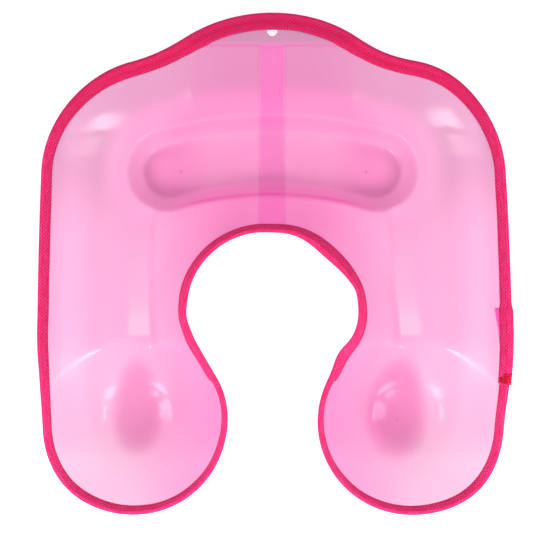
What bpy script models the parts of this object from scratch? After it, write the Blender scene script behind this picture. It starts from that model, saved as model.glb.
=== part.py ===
"""A neck tray for hair treatments. It is a horseshoe of clear PVC sheet, vacuum formed, that lies round the
back of the neck and catches what drips: a kidney-shaped trough across the back, a gutter along each arm and
a round bowl at each end. Woven tape is folded over its whole edge and sewn on.

Metres, +Z up, +Y towards the back of the tray, +X to the right. The tray rests on the flat floors of its
two bowls and its trough. A plan point is a complex number, x + iy, measured from the centre of the neck
opening until the finished pieces are moved to stand on the origin."""

import cmath
import math

import bmesh
import bpy
import numpy as np
from mathutils.geometry import delaunay_2d_cdt

# Edge of the sheet, seen from above
NECK_RADIUS = 0.0555
NECK_FLAT = 0.0114  # straight run at the very back of the neck
THROAT_WIDTH = 0.0676  # least gap between the arms, where the neck goes in
THROAT_STRAIGHT = 0.0266  # straight run between the neck's round and a bowl's round
LOBE_RADIUS = 0.0646  # round end of an arm
HIP_BULGE = 0.0042  # how far the side stands out past the shoulder and the arm's end
HIP_RADIUS = 0.2117
HIP_DROP = 0.0210  # from the neck's centre forward to the widest place
SHOULDER_RADIUS = 0.0824
BACK_FROM_TROUGH = 0.0654  # from the middle of the trough to the back edge beside the tab
TAB_FROM_BACK = 0.0326  # how far the tab stands out past that edge
TAB_RADIUS = 0.1151
TAB_FILLET = 0.1225
TAB_LIP = 0.0210  # flat of the tab, from its edge to the fold line

# Heights of the sheet above the floor it rests on
RIM_HEIGHT = 0.0500
GUTTER_HEIGHT_AT_BOWL = 0.0280
GUTTER_HEIGHT_AT_BACK = 0.0180

# Walls of the horseshoe. A run is how far a wall reaches in from the edge, a curve is 1 for a straight wall
FLANGE_HEIGHT = 0.0115  # steep turned-up edge under the tape, round all but the tab
SIDE_FLANGE_RUN = 0.0052
LOBE_FLANGE_RUN = 0.0024
NECK_FLANGE_RUN = 0.0064
FLANGE_CURVE = 1.25
FLANGE_FADE = 0.0850  # distance in front of the tab's fold over which the flange grows to its full height
SIDE_RUN = 0.0790
BACK_RUN = 0.0460
NECK_RUN = 0.0283
SIDE_CURVE = 2.0
BACK_CURVE = 1.35
NECK_CURVE = 1.5

# Bowls and trough
BOWL_FLOOR_RADIUS = 0.0178
BOWL_RISE = 0.0395  # height of the bowl's wall at the arm's round edge, without the flange
BOWL_CURVE = 1.5
GROOVE_OUT = 0.0895  # from the middle of the tray out to the crease along each gutter
GROOVE_DEPTH = 0.0034
GROOVE_RUN = 0.0170  # from the crease to where the groove's outer side starts
GROOVE_NECK_RUN = 0.0060
GROOVE_FRONT = -0.0230
GROOVE_BACK = 0.0640
GROOVE_FADE = 0.0150
TROUGH_BEND = 0.2870  # radius of the trough's centre line, which bends round the neck
TROUGH_REACH = 0.1113  # from the neck's centre to the middle of the trough
TROUGH_HALF_LENGTH = 0.0775  # of the centre line
TROUGH_FLOOR_HALF_WIDTH = 0.0185
TROUGH_WALL_RUN = 0.0115
TROUGH_RISE = 0.0200  # height of the trough's wall at the end of that run
TROUGH_CURVE = 1.7
FORMED_EDGE = 0.0030  # how softly the sheet rounds over where two forms meet
FOLD_SOFTNESS = 0.0040  # width over which the tab's fold is rounded

# Sheet, hanging hole and centre strip
SHEET_THICKNESS = 0.0009
HOLE_RADIUS = 0.0039
HOLE_BELOW_TAPE = 0.0009  # from the tape's inner edge down to the hole's centre
STRIP_WIDTH = 0.0160
STRIP_THICKNESS = 0.0005
STRIP_BELOW_FOLD = 0.0014
STRIP_FROM_TAPE = 0.0026

# Binding, seam and bartack
SEAT_GAP = 0.0003  # left between pieces that touch
TAPE_WIDTH = 0.0109  # on each side of the sheet: a 25 mm tape less what its fold takes
TAPE_THICKNESS = 0.0006
LAP_LENGTH = 0.0570
LAP_START_DROP = 0.0012  # from the neck's centre forward to the lower end of the tape
SEAM_FROM_EDGE = 0.0088
THREAD_RADIUS = 0.00025
THREAD_GAP = 0.00045  # under a thread, which bridges small hollows in the tape
BARTACK_LENGTH = 0.0150
BARTACK_WIDTH = 0.0064
BARTACK_FROM_EDGE = 0.0012
BARTACK_FROM_END = 0.0015
BARTACK_RADIUS = 0.00035
BARTACK_STITCHES = 9

# How finely the forms are drawn
STATION_STEP = 0.0100
FINE_SHARE = 0.25  # step of the edge when a distance is measured to it, as a share of that step
SAME_POINT_SHARE = 0.125  # points closer than this share of a step are one
SLIGHT_TURN = 0.5  # radians. A turn that comes out this far below nothing is past a half turn
MESH_STEP = 0.0093
CLEAR_SHARE = 0.46  # least distance between two points of the sheet, as a share of that step
BOWL_RING_SHARE = 0.75  # from one ring of a bowl to the next
TROUGH_RINGS = 5
TROUGH_RING_SHARE = 0.34  # from one ring of the trough to the next, as a share of its wall's run
STRIP_STEP = 0.0032
WALL_SAMPLES = 24
HOLE_SIDES = 24
CUT_OVERRUN = 0.0050
PROBE = 0.0002  # how far apart two points are for measuring a slope
WELD = 0.00003  # points closer than this are one point of the mesh

# Finishes: colour, roughness and how solid they look
CLEAR_PINK = (0.98, 0.42, 0.70), 0.22, 0.5
CLEAR_PINK_TWICE = (0.98, 0.30, 0.60), 0.25, 0.6
HOT_PINK_TAPE = (0.85, 0.02, 0.15), 0.75, 1
PINK_THREAD = (0.88, 0.03, 0.19), 0.55, 1
RED_THREAD = (0.70, 0.01, 0.06), 0.5, 1

BACK_REACH = TROUGH_REACH + BACK_FROM_TROUGH  # from the neck's centre, as is the next
TAB_REACH = BACK_REACH + TAB_FROM_BACK

# Discs that the edge runs round, each a centre, a radius and a side: 1 where the edge is convex, -1 hollow
HALF_WIDTH = THROAT_WIDTH / 2 + 2 * LOBE_RADIUS
NECK_CENTRE = complex(NECK_FLAT / 2, 0)
LOBE_AWAY = math.hypot(LOBE_RADIUS + NECK_RADIUS, THROAT_STRAIGHT)
LOBE_X = THROAT_WIDTH / 2 + LOBE_RADIUS
LOBE_CENTRE = complex(LOBE_X, -math.sqrt(LOBE_AWAY**2 - (LOBE_X - NECK_FLAT / 2) ** 2))
HIP_CENTRE = complex(HALF_WIDTH + HIP_BULGE - HIP_RADIUS, -HIP_DROP)
SHOULDER_CENTRE = complex(HALF_WIDTH - SHOULDER_RADIUS, BACK_REACH - SHOULDER_RADIUS)
TAB_CENTRE = complex(0, TAB_REACH - TAB_RADIUS)
FOLD_LINE = TAB_REACH - TAB_LIP
OVER_LIFT = SEAT_GAP + TAPE_THICKNESS  # how much further out the upper end of the tape lies in the lap


def disc_between(first, first_radius, second, second_radius, radius):
    """Centre of the hollow round that touches two discs from outside, on their +Y side."""
    apart = abs(second - first)
    near, far = first_radius + radius, second_radius + radius
    along = (near**2 - far**2 + apart**2) / (2 * apart)
    return first + (second - first) / apart * complex(along, math.sqrt(near**2 - along**2))


def edge_discs():
    fillet = disc_between(TAB_CENTRE, TAB_RADIUS, SHOULDER_CENTRE, SHOULDER_RADIUS, TAB_FILLET)
    return [
        (TAB_CENTRE, TAB_RADIUS, 1),
        (fillet, TAB_FILLET, -1),
        (SHOULDER_CENTRE, SHOULDER_RADIUS, 1),
        (HIP_CENTRE, HIP_RADIUS, 1),
        (LOBE_CENTRE, LOBE_RADIUS, 1),
        (NECK_CENTRE, NECK_RADIUS, -1),
    ]


def heading_between(disc, other):
    """Direction of the straight run that leaves one disc and meets the next."""
    centre, radius, side = disc
    other_centre, other_radius, other_side = other
    apart = other_centre - centre
    across = other_side * other_radius - side * radius
    along = math.sqrt(max(abs(apart) ** 2 - across**2, 0))
    return apart / complex(along, -across)


def half_edge(step):
    """Points on the right half of the edge, clockwise from the tab to the neck, each with its way inward
    and the number of the disc that it lies on."""
    discs = edge_discs()
    headings = [1] + [heading_between(a, b) for a, b in zip(discs, discs[1:])] + [-1]
    points = []
    for number, (centre, radius, side) in enumerate(discs):
        arriving, leaving = headings[number], headings[number + 1]
        turn = side * cmath.phase(arriving / leaving)
        turn = turn + 2 * math.pi if turn < -SLIGHT_TURN else max(turn, 0)
        count = max(math.ceil(turn * radius / step), 1)
        for k in range(count + 1):
            heading = arriving * cmath.exp(-1j * side * turn * k / count)
            points.append((centre + 1j * side * radius * heading, -1j * heading, number))
    points.append((complex(0, NECK_RADIUS), 1j, len(discs) - 1))
    return spread(points, step)


def spread(points, step):
    """Adds points along the straight runs, and drops those that lie on one another."""
    kept = [points[0]]
    for point, inward, number in points[1:]:
        last, last_inward, _ = kept[-1]
        length = abs(point - last)
        count = math.ceil(length / step)
        if length < step * SAME_POINT_SHARE:
            continue
        for k in range(1, count):
            kept.append((last + (point - last) * k / count, last_inward, number))
        kept.append((point, inward, number))
    return kept


def mirrored(point):
    return complex(-point.real, point.imag)


EDGE = half_edge(STATION_STEP)
FINE_EDGE = half_edge(STATION_STEP * FINE_SHARE)
NECK_DISC = len(edge_discs()) - 1
OUTER_RUN = np.array([point for point, _, disc in FINE_EDGE if disc < NECK_DISC])
NECK_RUN_POINTS = np.array([point for point, _, disc in FINE_EDGE if disc == NECK_DISC])


def away_from(run, points):
    """Distance in plan from each point to a run of straight pieces."""
    pieces = np.diff(run)
    offsets = points[:, None] - run[None, :-1]
    shares = np.clip((offsets * pieces.conj()).real / np.abs(pieces) ** 2, 0, 1)
    return np.abs(offsets - shares * pieces).min(axis=1)


def away_from_trough_line(points):
    """Distance in plan to the trough's centre line, an arc about a point in front of the neck."""
    pivot = complex(0, TROUGH_REACH - TROUGH_BEND)
    half_angle = TROUGH_HALF_LENGTH / TROUGH_BEND
    end = pivot + TROUGH_BEND * cmath.exp(1j * (math.pi / 2 - half_angle))
    spokes = points - pivot
    beside = np.arctan2(spokes.real, spokes.imag) < half_angle
    return np.where(beside, np.abs(np.abs(spokes) - TROUGH_BEND), np.abs(points - end))


def soft_min(first, second, width):
    """The lower of two forms, rounded over where they meet."""
    near = np.clip(1 - np.abs(first - second) / width, 0, 1)
    return np.minimum(first, second) - near**2 * width / 4


def eased(share):
    share = np.clip(share, 0, 1)
    return share * share * (3 - 2 * share)


def flange_height(points):
    """Full height of the turned-up edge beside each plan point: none at the tab."""
    return FLANGE_HEIGHT * eased((FOLD_LINE - points.imag) / FLANGE_FADE)


def flange(points):
    """Height that the turned-up edge adds to the form inside it."""
    forward = eased(points.imag / LOBE_CENTRE.imag)
    run = SIDE_FLANGE_RUN + (LOBE_FLANGE_RUN - SIDE_FLANGE_RUN) * forward
    outer = np.clip(1 - away_from(OUTER_RUN, points) / run, 0, 1) ** FLANGE_CURVE
    neck = np.clip(1 - away_from(NECK_RUN_POINTS, points) / NECK_FLANGE_RUN, 0, 1) ** FLANGE_CURVE
    return flange_height(points) * np.maximum(outer, neck)


def horseshoe_height(points):
    """The horseshoe without its bowls and trough: walls down from the edge to a gently sloping floor."""
    back = eased(points.imag / TROUGH_REACH)
    run = SIDE_RUN + (BACK_RUN - SIDE_RUN) * back
    curve = SIDE_CURVE + (BACK_CURVE - SIDE_CURVE) * back
    from_fold = FOLD_LINE - points.imag
    from_fold = (from_fold + np.hypot(from_fold, FOLD_SOFTNESS)) / 2
    from_edge = np.minimum(away_from(OUTER_RUN, points), from_fold)
    outer_wall = np.clip(1 - from_edge / run, 0, 1) ** curve
    neck_wall = np.clip(1 - away_from(NECK_RUN_POINTS, points) / NECK_RUN, 0, 1) ** NECK_CURVE
    wall = outer_wall + neck_wall - outer_wall * neck_wall
    back_share = np.clip((points.imag - LOBE_CENTRE.imag) / (TROUGH_REACH - LOBE_CENTRE.imag), 0, 1)
    floor = GUTTER_HEIGHT_AT_BOWL + (GUTTER_HEIGHT_AT_BACK - GUTTER_HEIGHT_AT_BOWL) * back_share
    return floor + (RIM_HEIGHT - flange_height(points) - floor) * wall


def bowl_height(points):
    """A bowl: a flat round floor and a wall up to the arm's round edge."""
    from_floor = np.clip(np.abs(points - LOBE_CENTRE) - BOWL_FLOOR_RADIUS, 0, None)
    return BOWL_RISE * (from_floor / (LOBE_RADIUS - BOWL_FLOOR_RADIUS)) ** BOWL_CURVE


def groove(points):
    """Depth of the crease along a gutter, below the form around it."""
    out = points.real - GROOVE_OUT
    across = np.clip(1 - np.where(out > 0, out / GROOVE_RUN, -out / GROOVE_NECK_RUN), 0, 1)
    front = eased((points.imag - GROOVE_FRONT) / GROOVE_FADE + 1)
    back = eased((GROOVE_BACK - points.imag) / GROOVE_FADE + 1)
    return GROOVE_DEPTH * across * front * back


def sheet_height(plan_points):
    """Height of the middle of the sheet over the floors of its bowls."""
    points = np.atleast_1d(np.asarray(plan_points, complex))
    points = np.abs(points.real) + 1j * points.imag
    from_floor = np.clip(away_from_trough_line(points) - TROUGH_FLOOR_HALF_WIDTH, 0, None)
    trough = TROUGH_RISE * (from_floor / TROUGH_WALL_RUN) ** TROUGH_CURVE
    height = soft_min(horseshoe_height(points) - groove(points), bowl_height(points), FORMED_EDGE)
    return soft_min(height, trough, FORMED_EDGE) + flange(points)


def lifted(points):
    """Points in space, on the middle of the sheet, over plan points."""
    points = np.asarray(points, complex)
    return np.column_stack([points.real, points.imag, sheet_height(points)])


def normalised(vectors):
    return vectors / np.linalg.norm(vectors, axis=-1, keepdims=True)


class Section:
    """The sheet's first stretch in from one station of the edge: points at given lengths along the sheet,
    with the sheet's upward normal and inward direction at each."""

    def __init__(self, point, inward, lengths):
        reach = max(lengths)
        steps = np.linspace(0, reach, WALL_SAMPLES)
        line = lifted(point + inward * steps)
        along = np.concatenate([[0], np.cumsum(np.linalg.norm(np.diff(line, axis=0), axis=1))])
        self.plan_steps = np.interp(lengths, along, steps)
        self.points = np.column_stack([np.interp(lengths, along, line[:, k]) for k in range(3)])
        slopes = np.gradient(line, steps, axis=0)
        inwards = np.column_stack([np.interp(lengths, along, slopes[:, k]) for k in range(3)])
        heading = 1j * inward
        across = np.array([heading.real, heading.imag, 0])
        self.inwards = normalised(inwards)
        self.normals = normalised(np.cross(self.inwards, across))
        self.plan = [point + inward * step for step in self.plan_steps]

    def mirror(self):
        other = object.__new__(Section)
        flip = np.array([-1, 1, 1])
        other.points, other.normals = self.points * flip, self.normals * flip
        other.inwards, other.plan_steps = self.inwards * flip, self.plan_steps
        other.plan = [mirrored(point) for point in self.plan]
        return other

    def at(self, length, rise):
        """A point at a length in from the edge, and so far above the middle of the sheet."""
        share = length / TAPE_WIDTH * (len(TAPE_LENGTHS) - 1)
        k = min(int(share), len(TAPE_LENGTHS) - 2)
        blend = share - k
        point = self.points[k] * (1 - blend) + self.points[k + 1] * blend
        normal = self.normals[k] * (1 - blend) + self.normals[k + 1] * blend
        return point + normalised(normal) * rise


TAPE_LENGTHS = [0, TAPE_WIDTH / 2, TAPE_WIDTH]
HALF_SECTIONS = [Section(point, inward, TAPE_LENGTHS) for point, inward, _ in EDGE]
SECTIONS = HALF_SECTIONS + [section.mirror() for section in HALF_SECTIONS[-2:0:-1]]


def material(name, look):
    colour, roughness, alpha = look
    finish = bpy.data.materials.new(name)
    finish.use_nodes = True
    shader = finish.node_tree.nodes["Principled BSDF"]
    shader.inputs["Base Color"].default_value = (*colour, 1)
    shader.inputs["Roughness"].default_value = roughness
    shader.inputs["Alpha"].default_value = alpha
    finish.diffuse_color = (*colour, alpha)
    return finish


def mesh_object(name, points, faces, finish, parent):
    mesh = bpy.data.meshes.new(name)
    mesh.from_pydata([tuple(point) for point in points], [], [tuple(face) for face in faces])
    mesh.materials.append(finish)
    mesh.shade_smooth()
    piece = bpy.data.objects.new(name, mesh)
    piece.parent = parent
    bpy.context.collection.objects.link(piece)
    return piece


def turned_out(piece):
    """Recalculates the normals of a closed mesh, so that they point out."""
    shape = bmesh.new()
    shape.from_mesh(piece.data)
    bmesh.ops.recalc_face_normals(shape, faces=shape.faces)
    shape.to_mesh(piece.data)
    shape.free()


def strip_rows():
    """Distances back from the neck's centre at which the centre strip has a row of points."""
    first = HALF_SECTIONS[-1].plan[-1].imag + STRIP_FROM_TAPE
    last = FOLD_LINE - STRIP_BELOW_FOLD
    return np.linspace(first, last, math.ceil((last - first) / STRIP_STEP) + 1)


def rounds_to_draw():
    """Plan points along the forms of the sheet, most wanted first: the folds and floors, then the rest."""
    points = [complex(x, FOLD_LINE) for x in np.arange(STRIP_WIDTH / 2, TAB_RADIUS, MESH_STEP)]
    radius = BOWL_FLOOR_RADIUS
    while radius < LOBE_RADIUS + MESH_STEP:
        count = max(round(2 * math.pi * radius / MESH_STEP), 6)
        turn = 2 * math.pi / count
        points += [LOBE_CENTRE + radius * cmath.exp(1j * turn * k) for k in range(count)]
        radius += MESH_STEP * BOWL_RING_SHARE
    points += trough_rounds()
    return points


def trough_rounds():
    """Rings of points round the trough, from its floor's edge to just past the top of its wall."""
    pivot = complex(0, TROUGH_REACH - TROUGH_BEND)
    half_angle = TROUGH_HALF_LENGTH / TROUGH_BEND
    outward = cmath.exp(-1j * half_angle)
    end = pivot + 1j * TROUGH_BEND * outward
    points = []
    for ring in range(TROUGH_RINGS):
        width = TROUGH_FLOOR_HALF_WIDTH + TROUGH_WALL_RUN * TROUGH_RING_SHARE * ring
        for side in (-1, 1):
            radius = TROUGH_BEND + side * width
            count = math.ceil(half_angle * radius / MESH_STEP)
            turns = [half_angle * (k + ring % 2 / 2) / count for k in range(count)]
            points += [pivot + 1j * radius * cmath.exp(-1j * turn) for turn in turns]
        count = math.ceil(math.pi * width / MESH_STEP)
        turns = [math.pi * k / count for k in range(count + 1)]
        points += [end + 1j * width * outward * cmath.exp(-1j * turn) for turn in turns]
    return points


def hex_grid():
    """Evenly spread plan points over the right half."""
    rows = np.arange(LOBE_CENTRE.imag - LOBE_RADIUS, TAB_REACH, MESH_STEP * math.sqrt(3) / 2)
    columns = np.arange(STRIP_WIDTH / 2, HALF_WIDTH + HIP_BULGE, MESH_STEP)
    return [complex(x + MESH_STEP / 2 * (k % 2), y) for k, y in enumerate(rows) for x in columns]


def thinned(fixed, wanted, border):
    """The wanted points within a border that keep clear of it, of the strip, of the fixed points and of one
    another."""
    least = MESH_STEP * CLEAR_SHARE
    kept = np.array(fixed)
    chosen = []
    for point in wanted:
        beside_border = away_from(border, np.array([point]))[0] < least / 2
        if beside_border or point.real < STRIP_WIDTH / 2 + least / 2 or not inside(point, border):
            continue
        if np.abs(kept - point).min() > least:
            kept = np.append(kept, point)
            chosen.append(point)
    return chosen


def inside(point, border):
    """Whether a plan point lies within a border, given as its corners in turn."""
    around = np.angle((np.append(border[1:], border[0]) - point) / (border - point)).sum()
    return abs(around) > math.pi


def sheet_plan():
    """Plan points and triangles of the right half of the sheet. The band under the tape has a point for
    each of the tape's own, so that the two lie parallel."""
    count = len(HALF_SECTIONS)
    rings = [section.plan[j] for j in range(len(TAPE_LENGTHS)) for section in HALF_SECTIONS]
    triangles = []
    for j in range(len(TAPE_LENGTHS) - 1):
        for k in range(count - 1):
            outer, inner = j * count + k, (j + 1) * count + k
            triangles += [(outer, inner, inner + 1), (outer, inner + 1, outer + 1)]
    inner_ring = list(range(count * (len(TAPE_LENGTHS) - 1), count * len(TAPE_LENGTHS)))
    rows = strip_rows()
    first = len(rings)
    points = rings + [complex(x, y) for x in (0, STRIP_WIDTH / 2) for y in rows]
    beside = range(first + len(rows), first + 2 * len(rows) - 1)
    inner_edge = np.array([section.plan[-1] for section in HALF_SECTIONS])
    points += thinned(points, rounds_to_draw() + hex_grid(), inner_edge)
    field = inner_ring + list(range(first, len(points)))
    place = {number: k for k, number in enumerate(field)}
    border = [place[number] for number in inner_ring + list(range(first, first + len(rows)))]
    edges = [(place[number], place[number + 1]) for number in beside]
    flat = [(points[number].real, points[number].imag) for number in field]
    made = delaunay_2d_cdt(flat, edges, [border], 1, WELD)
    numbers = [field[sources[0]] for sources in made[3]]
    return points, triangles + [tuple(numbers[corner] for corner in face) for face in made[2]]


def make_sheet(parent, finish):
    """The formed sheet: its right half, mirrored, given its thickness and punched."""
    plan, triangles = sheet_plan()
    piece = mesh_object("tray_shell", lifted(plan), triangles, finish, parent)
    mirror = piece.modifiers.new("left half", "MIRROR")
    mirror.merge_threshold = WELD
    wall = piece.modifiers.new("sheet thickness", "SOLIDIFY")
    wall.thickness = SHEET_THICKNESS
    wall.offset = 0
    punch = piece.modifiers.new("hanging hole", "BOOLEAN")
    punch.operation = "DIFFERENCE"
    punch.solver = "EXACT"
    punch.object = make_hole_cutter(parent)
    return piece


def hole_centre():
    return complex(0, HALF_SECTIONS[0].plan[-1].imag - HOLE_BELOW_TAPE)


def make_hole_cutter(parent):
    shape = bmesh.new()
    depth = SHEET_THICKNESS + 2 * CUT_OVERRUN
    bmesh.ops.create_cone(
        shape, cap_ends=True, segments=HOLE_SIDES, radius1=HOLE_RADIUS, radius2=HOLE_RADIUS, depth=depth
    )
    mesh = bpy.data.meshes.new("hole_cutter")
    shape.to_mesh(mesh)
    shape.free()
    cutter = bpy.data.objects.new("hole_cutter", mesh)
    cutter.location = lifted([hole_centre()])[0]
    cutter.parent = parent
    cutter.hide_render = True
    cutter.display_type = "WIRE"
    bpy.context.collection.objects.link(cutter)
    return cutter


def upward_normals(plan):
    """Normals of the sheet away from its edge."""
    plan = np.asarray(plan, complex)
    across = lifted(plan + PROBE / 2) - lifted(plan - PROBE / 2)
    along = lifted(plan + PROBE / 2 * 1j) - lifted(plan - PROBE / 2 * 1j)
    return normalised(np.cross(across, along))


def make_strip(parent, finish):
    """The second layer of film along the middle of the back, lying on the sheet."""
    rows = strip_rows()
    columns = [-STRIP_WIDTH / 2, 0, STRIP_WIDTH / 2]
    plan = [complex(x, y) for y in rows for x in columns]
    rise = SHEET_THICKNESS / 2 + SEAT_GAP + STRIP_THICKNESS / 2
    points = lifted(plan) + upward_normals(plan) * rise
    wide = len(columns)
    faces = [
        (wide * r + c, wide * r + c + 1, wide * (r + 1) + c + 1, wide * (r + 1) + c)
        for r in range(len(rows) - 1)
        for c in range(wide - 1)
    ]
    piece = mesh_object("centre_strip", points, faces, finish, parent)
    film = piece.modifiers.new("film thickness", "SOLIDIFY")
    film.thickness = STRIP_THICKNESS
    film.offset = 0
    return piece


def lap_stations():
    """Number of the station where the tape starts, and how many stations its two ends lap over."""
    ends = [abs(point.imag + LAP_START_DROP) for point, _, disc in EDGE if disc < NECK_DISC]
    start = ends.index(min(ends))
    length, count = 0, 0
    while length < LAP_LENGTH:
        here, there = SECTIONS[start + count], SECTIONS[start + count + 1]
        length += np.linalg.norm(there.points[0] - here.points[0])
        count += 1
    return start, count


def tape_profile(section, lift):
    """The folded tape across one station, as a closed ring of points: the outside of the fold, then the
    inside."""
    inner = SHEET_THICKNESS / 2 + SEAT_GAP + lift
    outer = inner + TAPE_THICKNESS
    mid, normal, inward = section.points, section.normals, section.inwards[0]
    fold_in = mid[0] - inward * (SEAT_GAP + lift)
    fold_out = fold_in - inward * TAPE_THICKNESS
    return [
        mid[2] + normal[2] * outer,
        mid[1] + normal[1] * outer,
        fold_in + normal[0] * outer,
        fold_out + normal[0] * inner,
        fold_out - normal[0] * inner,
        fold_in - normal[0] * outer,
        mid[1] - normal[1] * outer,
        mid[2] - normal[2] * outer,
        mid[2] - normal[2] * inner,
        mid[1] - normal[1] * inner,
        fold_in - normal[0] * inner,
        fold_in + normal[0] * inner,
        mid[1] + normal[1] * inner,
        mid[2] + normal[2] * inner,
    ]


def make_tape(parent, finish):
    """One run of tape right round the edge, its last stretch lapped over its first."""
    start, lap = lap_stations()
    total = len(SECTIONS)
    rings = []
    for k in range(total + lap + 1):
        lift = OVER_LIFT if k >= total - 1 else 0
        rings.append(tape_profile(SECTIONS[(start + k) % total], lift))
    size = len(rings[0])
    faces = end_faces(0, size) + end_faces(size * (len(rings) - 1), size)
    for k in range(len(rings) - 1):
        on_right = (start + k) % total < len(HALF_SECTIONS) - 1
        faces += tape_faces(size * k, size, on_right)
    piece = mesh_object("binding_tape", [point for ring in rings for point in ring], faces, finish, parent)
    turned_out(piece)
    return piece


def tape_faces(first, size, on_right):
    """Triangles between one ring of the tape and the next, divided as the sheet under them is. A face of the
    ring runs towards the edge on the outside's upper half and on the inside's lower half."""
    faces = []
    half = size // 2
    for k in range(size):
        a, b = first + k, first + (k + 1) % size
        c, d = b + size, a + size
        towards_edge = k in (0, 1, half + 1, half + 2)
        if towards_edge == on_right:
            faces += [(a, b, d), (b, c, d)]
        else:
            faces += [(a, b, c), (a, c, d)]
    return faces


def end_faces(first, size):
    """The cut end of the folded tape, from its outside to its inside."""
    outside = [0, 1, 2, 3, 4, 5, 6, 7]
    inside = [13, 12, 11, 11, 10, 10, 9, 8]
    faces = []
    for k in range(len(outside) - 1):
        ring = [outside[k], outside[k + 1], inside[k + 1], inside[k]]
        faces.append(tuple(first + number for number in dict.fromkeys(ring)))
    return faces


def topmost_lift(station):
    """How far the tape's outer face is raised at a station, by the lap."""
    start, lap = lap_stations()
    past = (station - start + 1) % len(SECTIONS)
    return OVER_LIFT if past <= lap + 1 else 0


def make_thread(name, side, parent, finish):
    """A thread of the seam, lying on the tape's upper face where side is 1 and on its lower where it is -1."""
    rise = SHEET_THICKNESS / 2 + SEAT_GAP + TAPE_THICKNESS + THREAD_GAP + THREAD_RADIUS
    rises = [side * (rise + topmost_lift(k)) for k in range(len(SECTIONS))]
    points = [section.at(SEAM_FROM_EDGE, rises[k]) for k, section in enumerate(SECTIONS)]
    return tube(name, points, THREAD_RADIUS, True, parent, finish)


def tube(name, points, radius, closed, parent, finish):
    curve = bpy.data.curves.new(name, "CURVE")
    curve.dimensions = "3D"
    curve.bevel_depth = radius
    curve.bevel_resolution = 0
    curve.use_fill_caps = not closed
    curve.materials.append(finish)
    spline = curve.splines.new("POLY")
    spline.points.add(len(points) - 1)
    for target, point in zip(spline.points, points):
        target.co = (*point, 1)
    spline.use_cyclic_u = closed
    piece = bpy.data.objects.new(name, curve)
    piece.parent = parent
    bpy.context.collection.objects.link(piece)
    return piece


def make_bartack(parent, finish):
    """The zigzag of red thread across the upper end of the tape."""
    start, lap = lap_stations()
    end = start + lap
    rise = SHEET_THICKNESS / 2 + SEAT_GAP + TAPE_THICKNESS + OVER_LIFT + THREAD_GAP + BARTACK_RADIUS
    points = []
    for k in range(BARTACK_STITCHES + 1):
        back = BARTACK_FROM_END + BARTACK_LENGTH * k / BARTACK_STITCHES
        length = BARTACK_FROM_EDGE + BARTACK_WIDTH * (k % 2)
        points.append(beside_edge(end, back, length, rise))
    return tube("lap_bartack", points, BARTACK_RADIUS, False, parent, finish)


def beside_edge(station, back, length, rise):
    """A point on the tape, a distance back along the edge from a station."""
    while True:
        here, before = SECTIONS[station], SECTIONS[station - 1]
        gap = np.linalg.norm(here.points[0] - before.points[0])
        if back <= gap:
            blend = back / gap
            return here.at(length, rise) * (1 - blend) + before.at(length, rise) * blend
        back -= gap
        station -= 1


def stand_on_origin(origin, tape):
    """Moves the tray so that it stands on the world's origin, centred on its outline."""
    corners = np.array([vertex.co for vertex in tape.data.vertices])
    centre = (corners.max(axis=0) + corners.min(axis=0)) / 2
    origin.location = (-centre[0], -centre[1], SHEET_THICKNESS / 2)


def clear_scene():
    for thing in list(bpy.data.objects):
        bpy.data.objects.remove(thing, do_unlink=True)


def build_tray():
    origin = bpy.data.objects.new("tray_origin", None)
    bpy.context.collection.objects.link(origin)
    make_sheet(origin, material("clear_pink_pvc", CLEAR_PINK))
    make_strip(origin, material("clear_pink_pvc_strip", CLEAR_PINK_TWICE))
    tape = make_tape(origin, material("hot_pink_woven_tape", HOT_PINK_TAPE))
    thread = material("pink_thread", PINK_THREAD)
    make_thread("needle_thread", 1, origin, thread)
    make_thread("bobbin_thread", -1, origin, thread)
    make_bartack(origin, material("red_thread", RED_THREAD))
    stand_on_origin(origin, tape)


clear_scene()
build_tray()
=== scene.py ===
"""The looks of a neck tray for hair treatments: clear pink PVC sheet, vacuum formed, with woven tape folded
over its edge and sewn on. The form repeats the sizes of the solids that it dresses, on a finer mesh."""

import cmath
import math

import bpy
import numpy as np
from mathutils.geometry import delaunay_2d_cdt
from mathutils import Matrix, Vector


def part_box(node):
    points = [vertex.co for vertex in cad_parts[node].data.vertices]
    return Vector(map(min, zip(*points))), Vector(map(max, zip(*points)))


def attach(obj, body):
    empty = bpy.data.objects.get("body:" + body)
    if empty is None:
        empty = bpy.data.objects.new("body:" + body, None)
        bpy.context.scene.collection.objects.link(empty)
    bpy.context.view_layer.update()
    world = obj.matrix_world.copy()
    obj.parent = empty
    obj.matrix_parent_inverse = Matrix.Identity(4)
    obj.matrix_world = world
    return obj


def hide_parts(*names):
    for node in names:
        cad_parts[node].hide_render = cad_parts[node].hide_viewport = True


# Edge of the sheet, seen from above. Plan points are complex numbers, from the centre of the neck opening
NECK_RADIUS = 0.0555
NECK_FLAT = 0.0114
THROAT_WIDTH = 0.0676
THROAT_STRAIGHT = 0.0266
LOBE_RADIUS = 0.0646
HIP_BULGE = 0.0042
HIP_RADIUS = 0.2117
HIP_DROP = 0.0210
SHOULDER_RADIUS = 0.0824
BACK_FROM_TROUGH = 0.0654
TAB_FROM_BACK = 0.0326
TAB_RADIUS = 0.1151
TAB_FILLET = 0.1225
TAB_LIP = 0.0210

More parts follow.
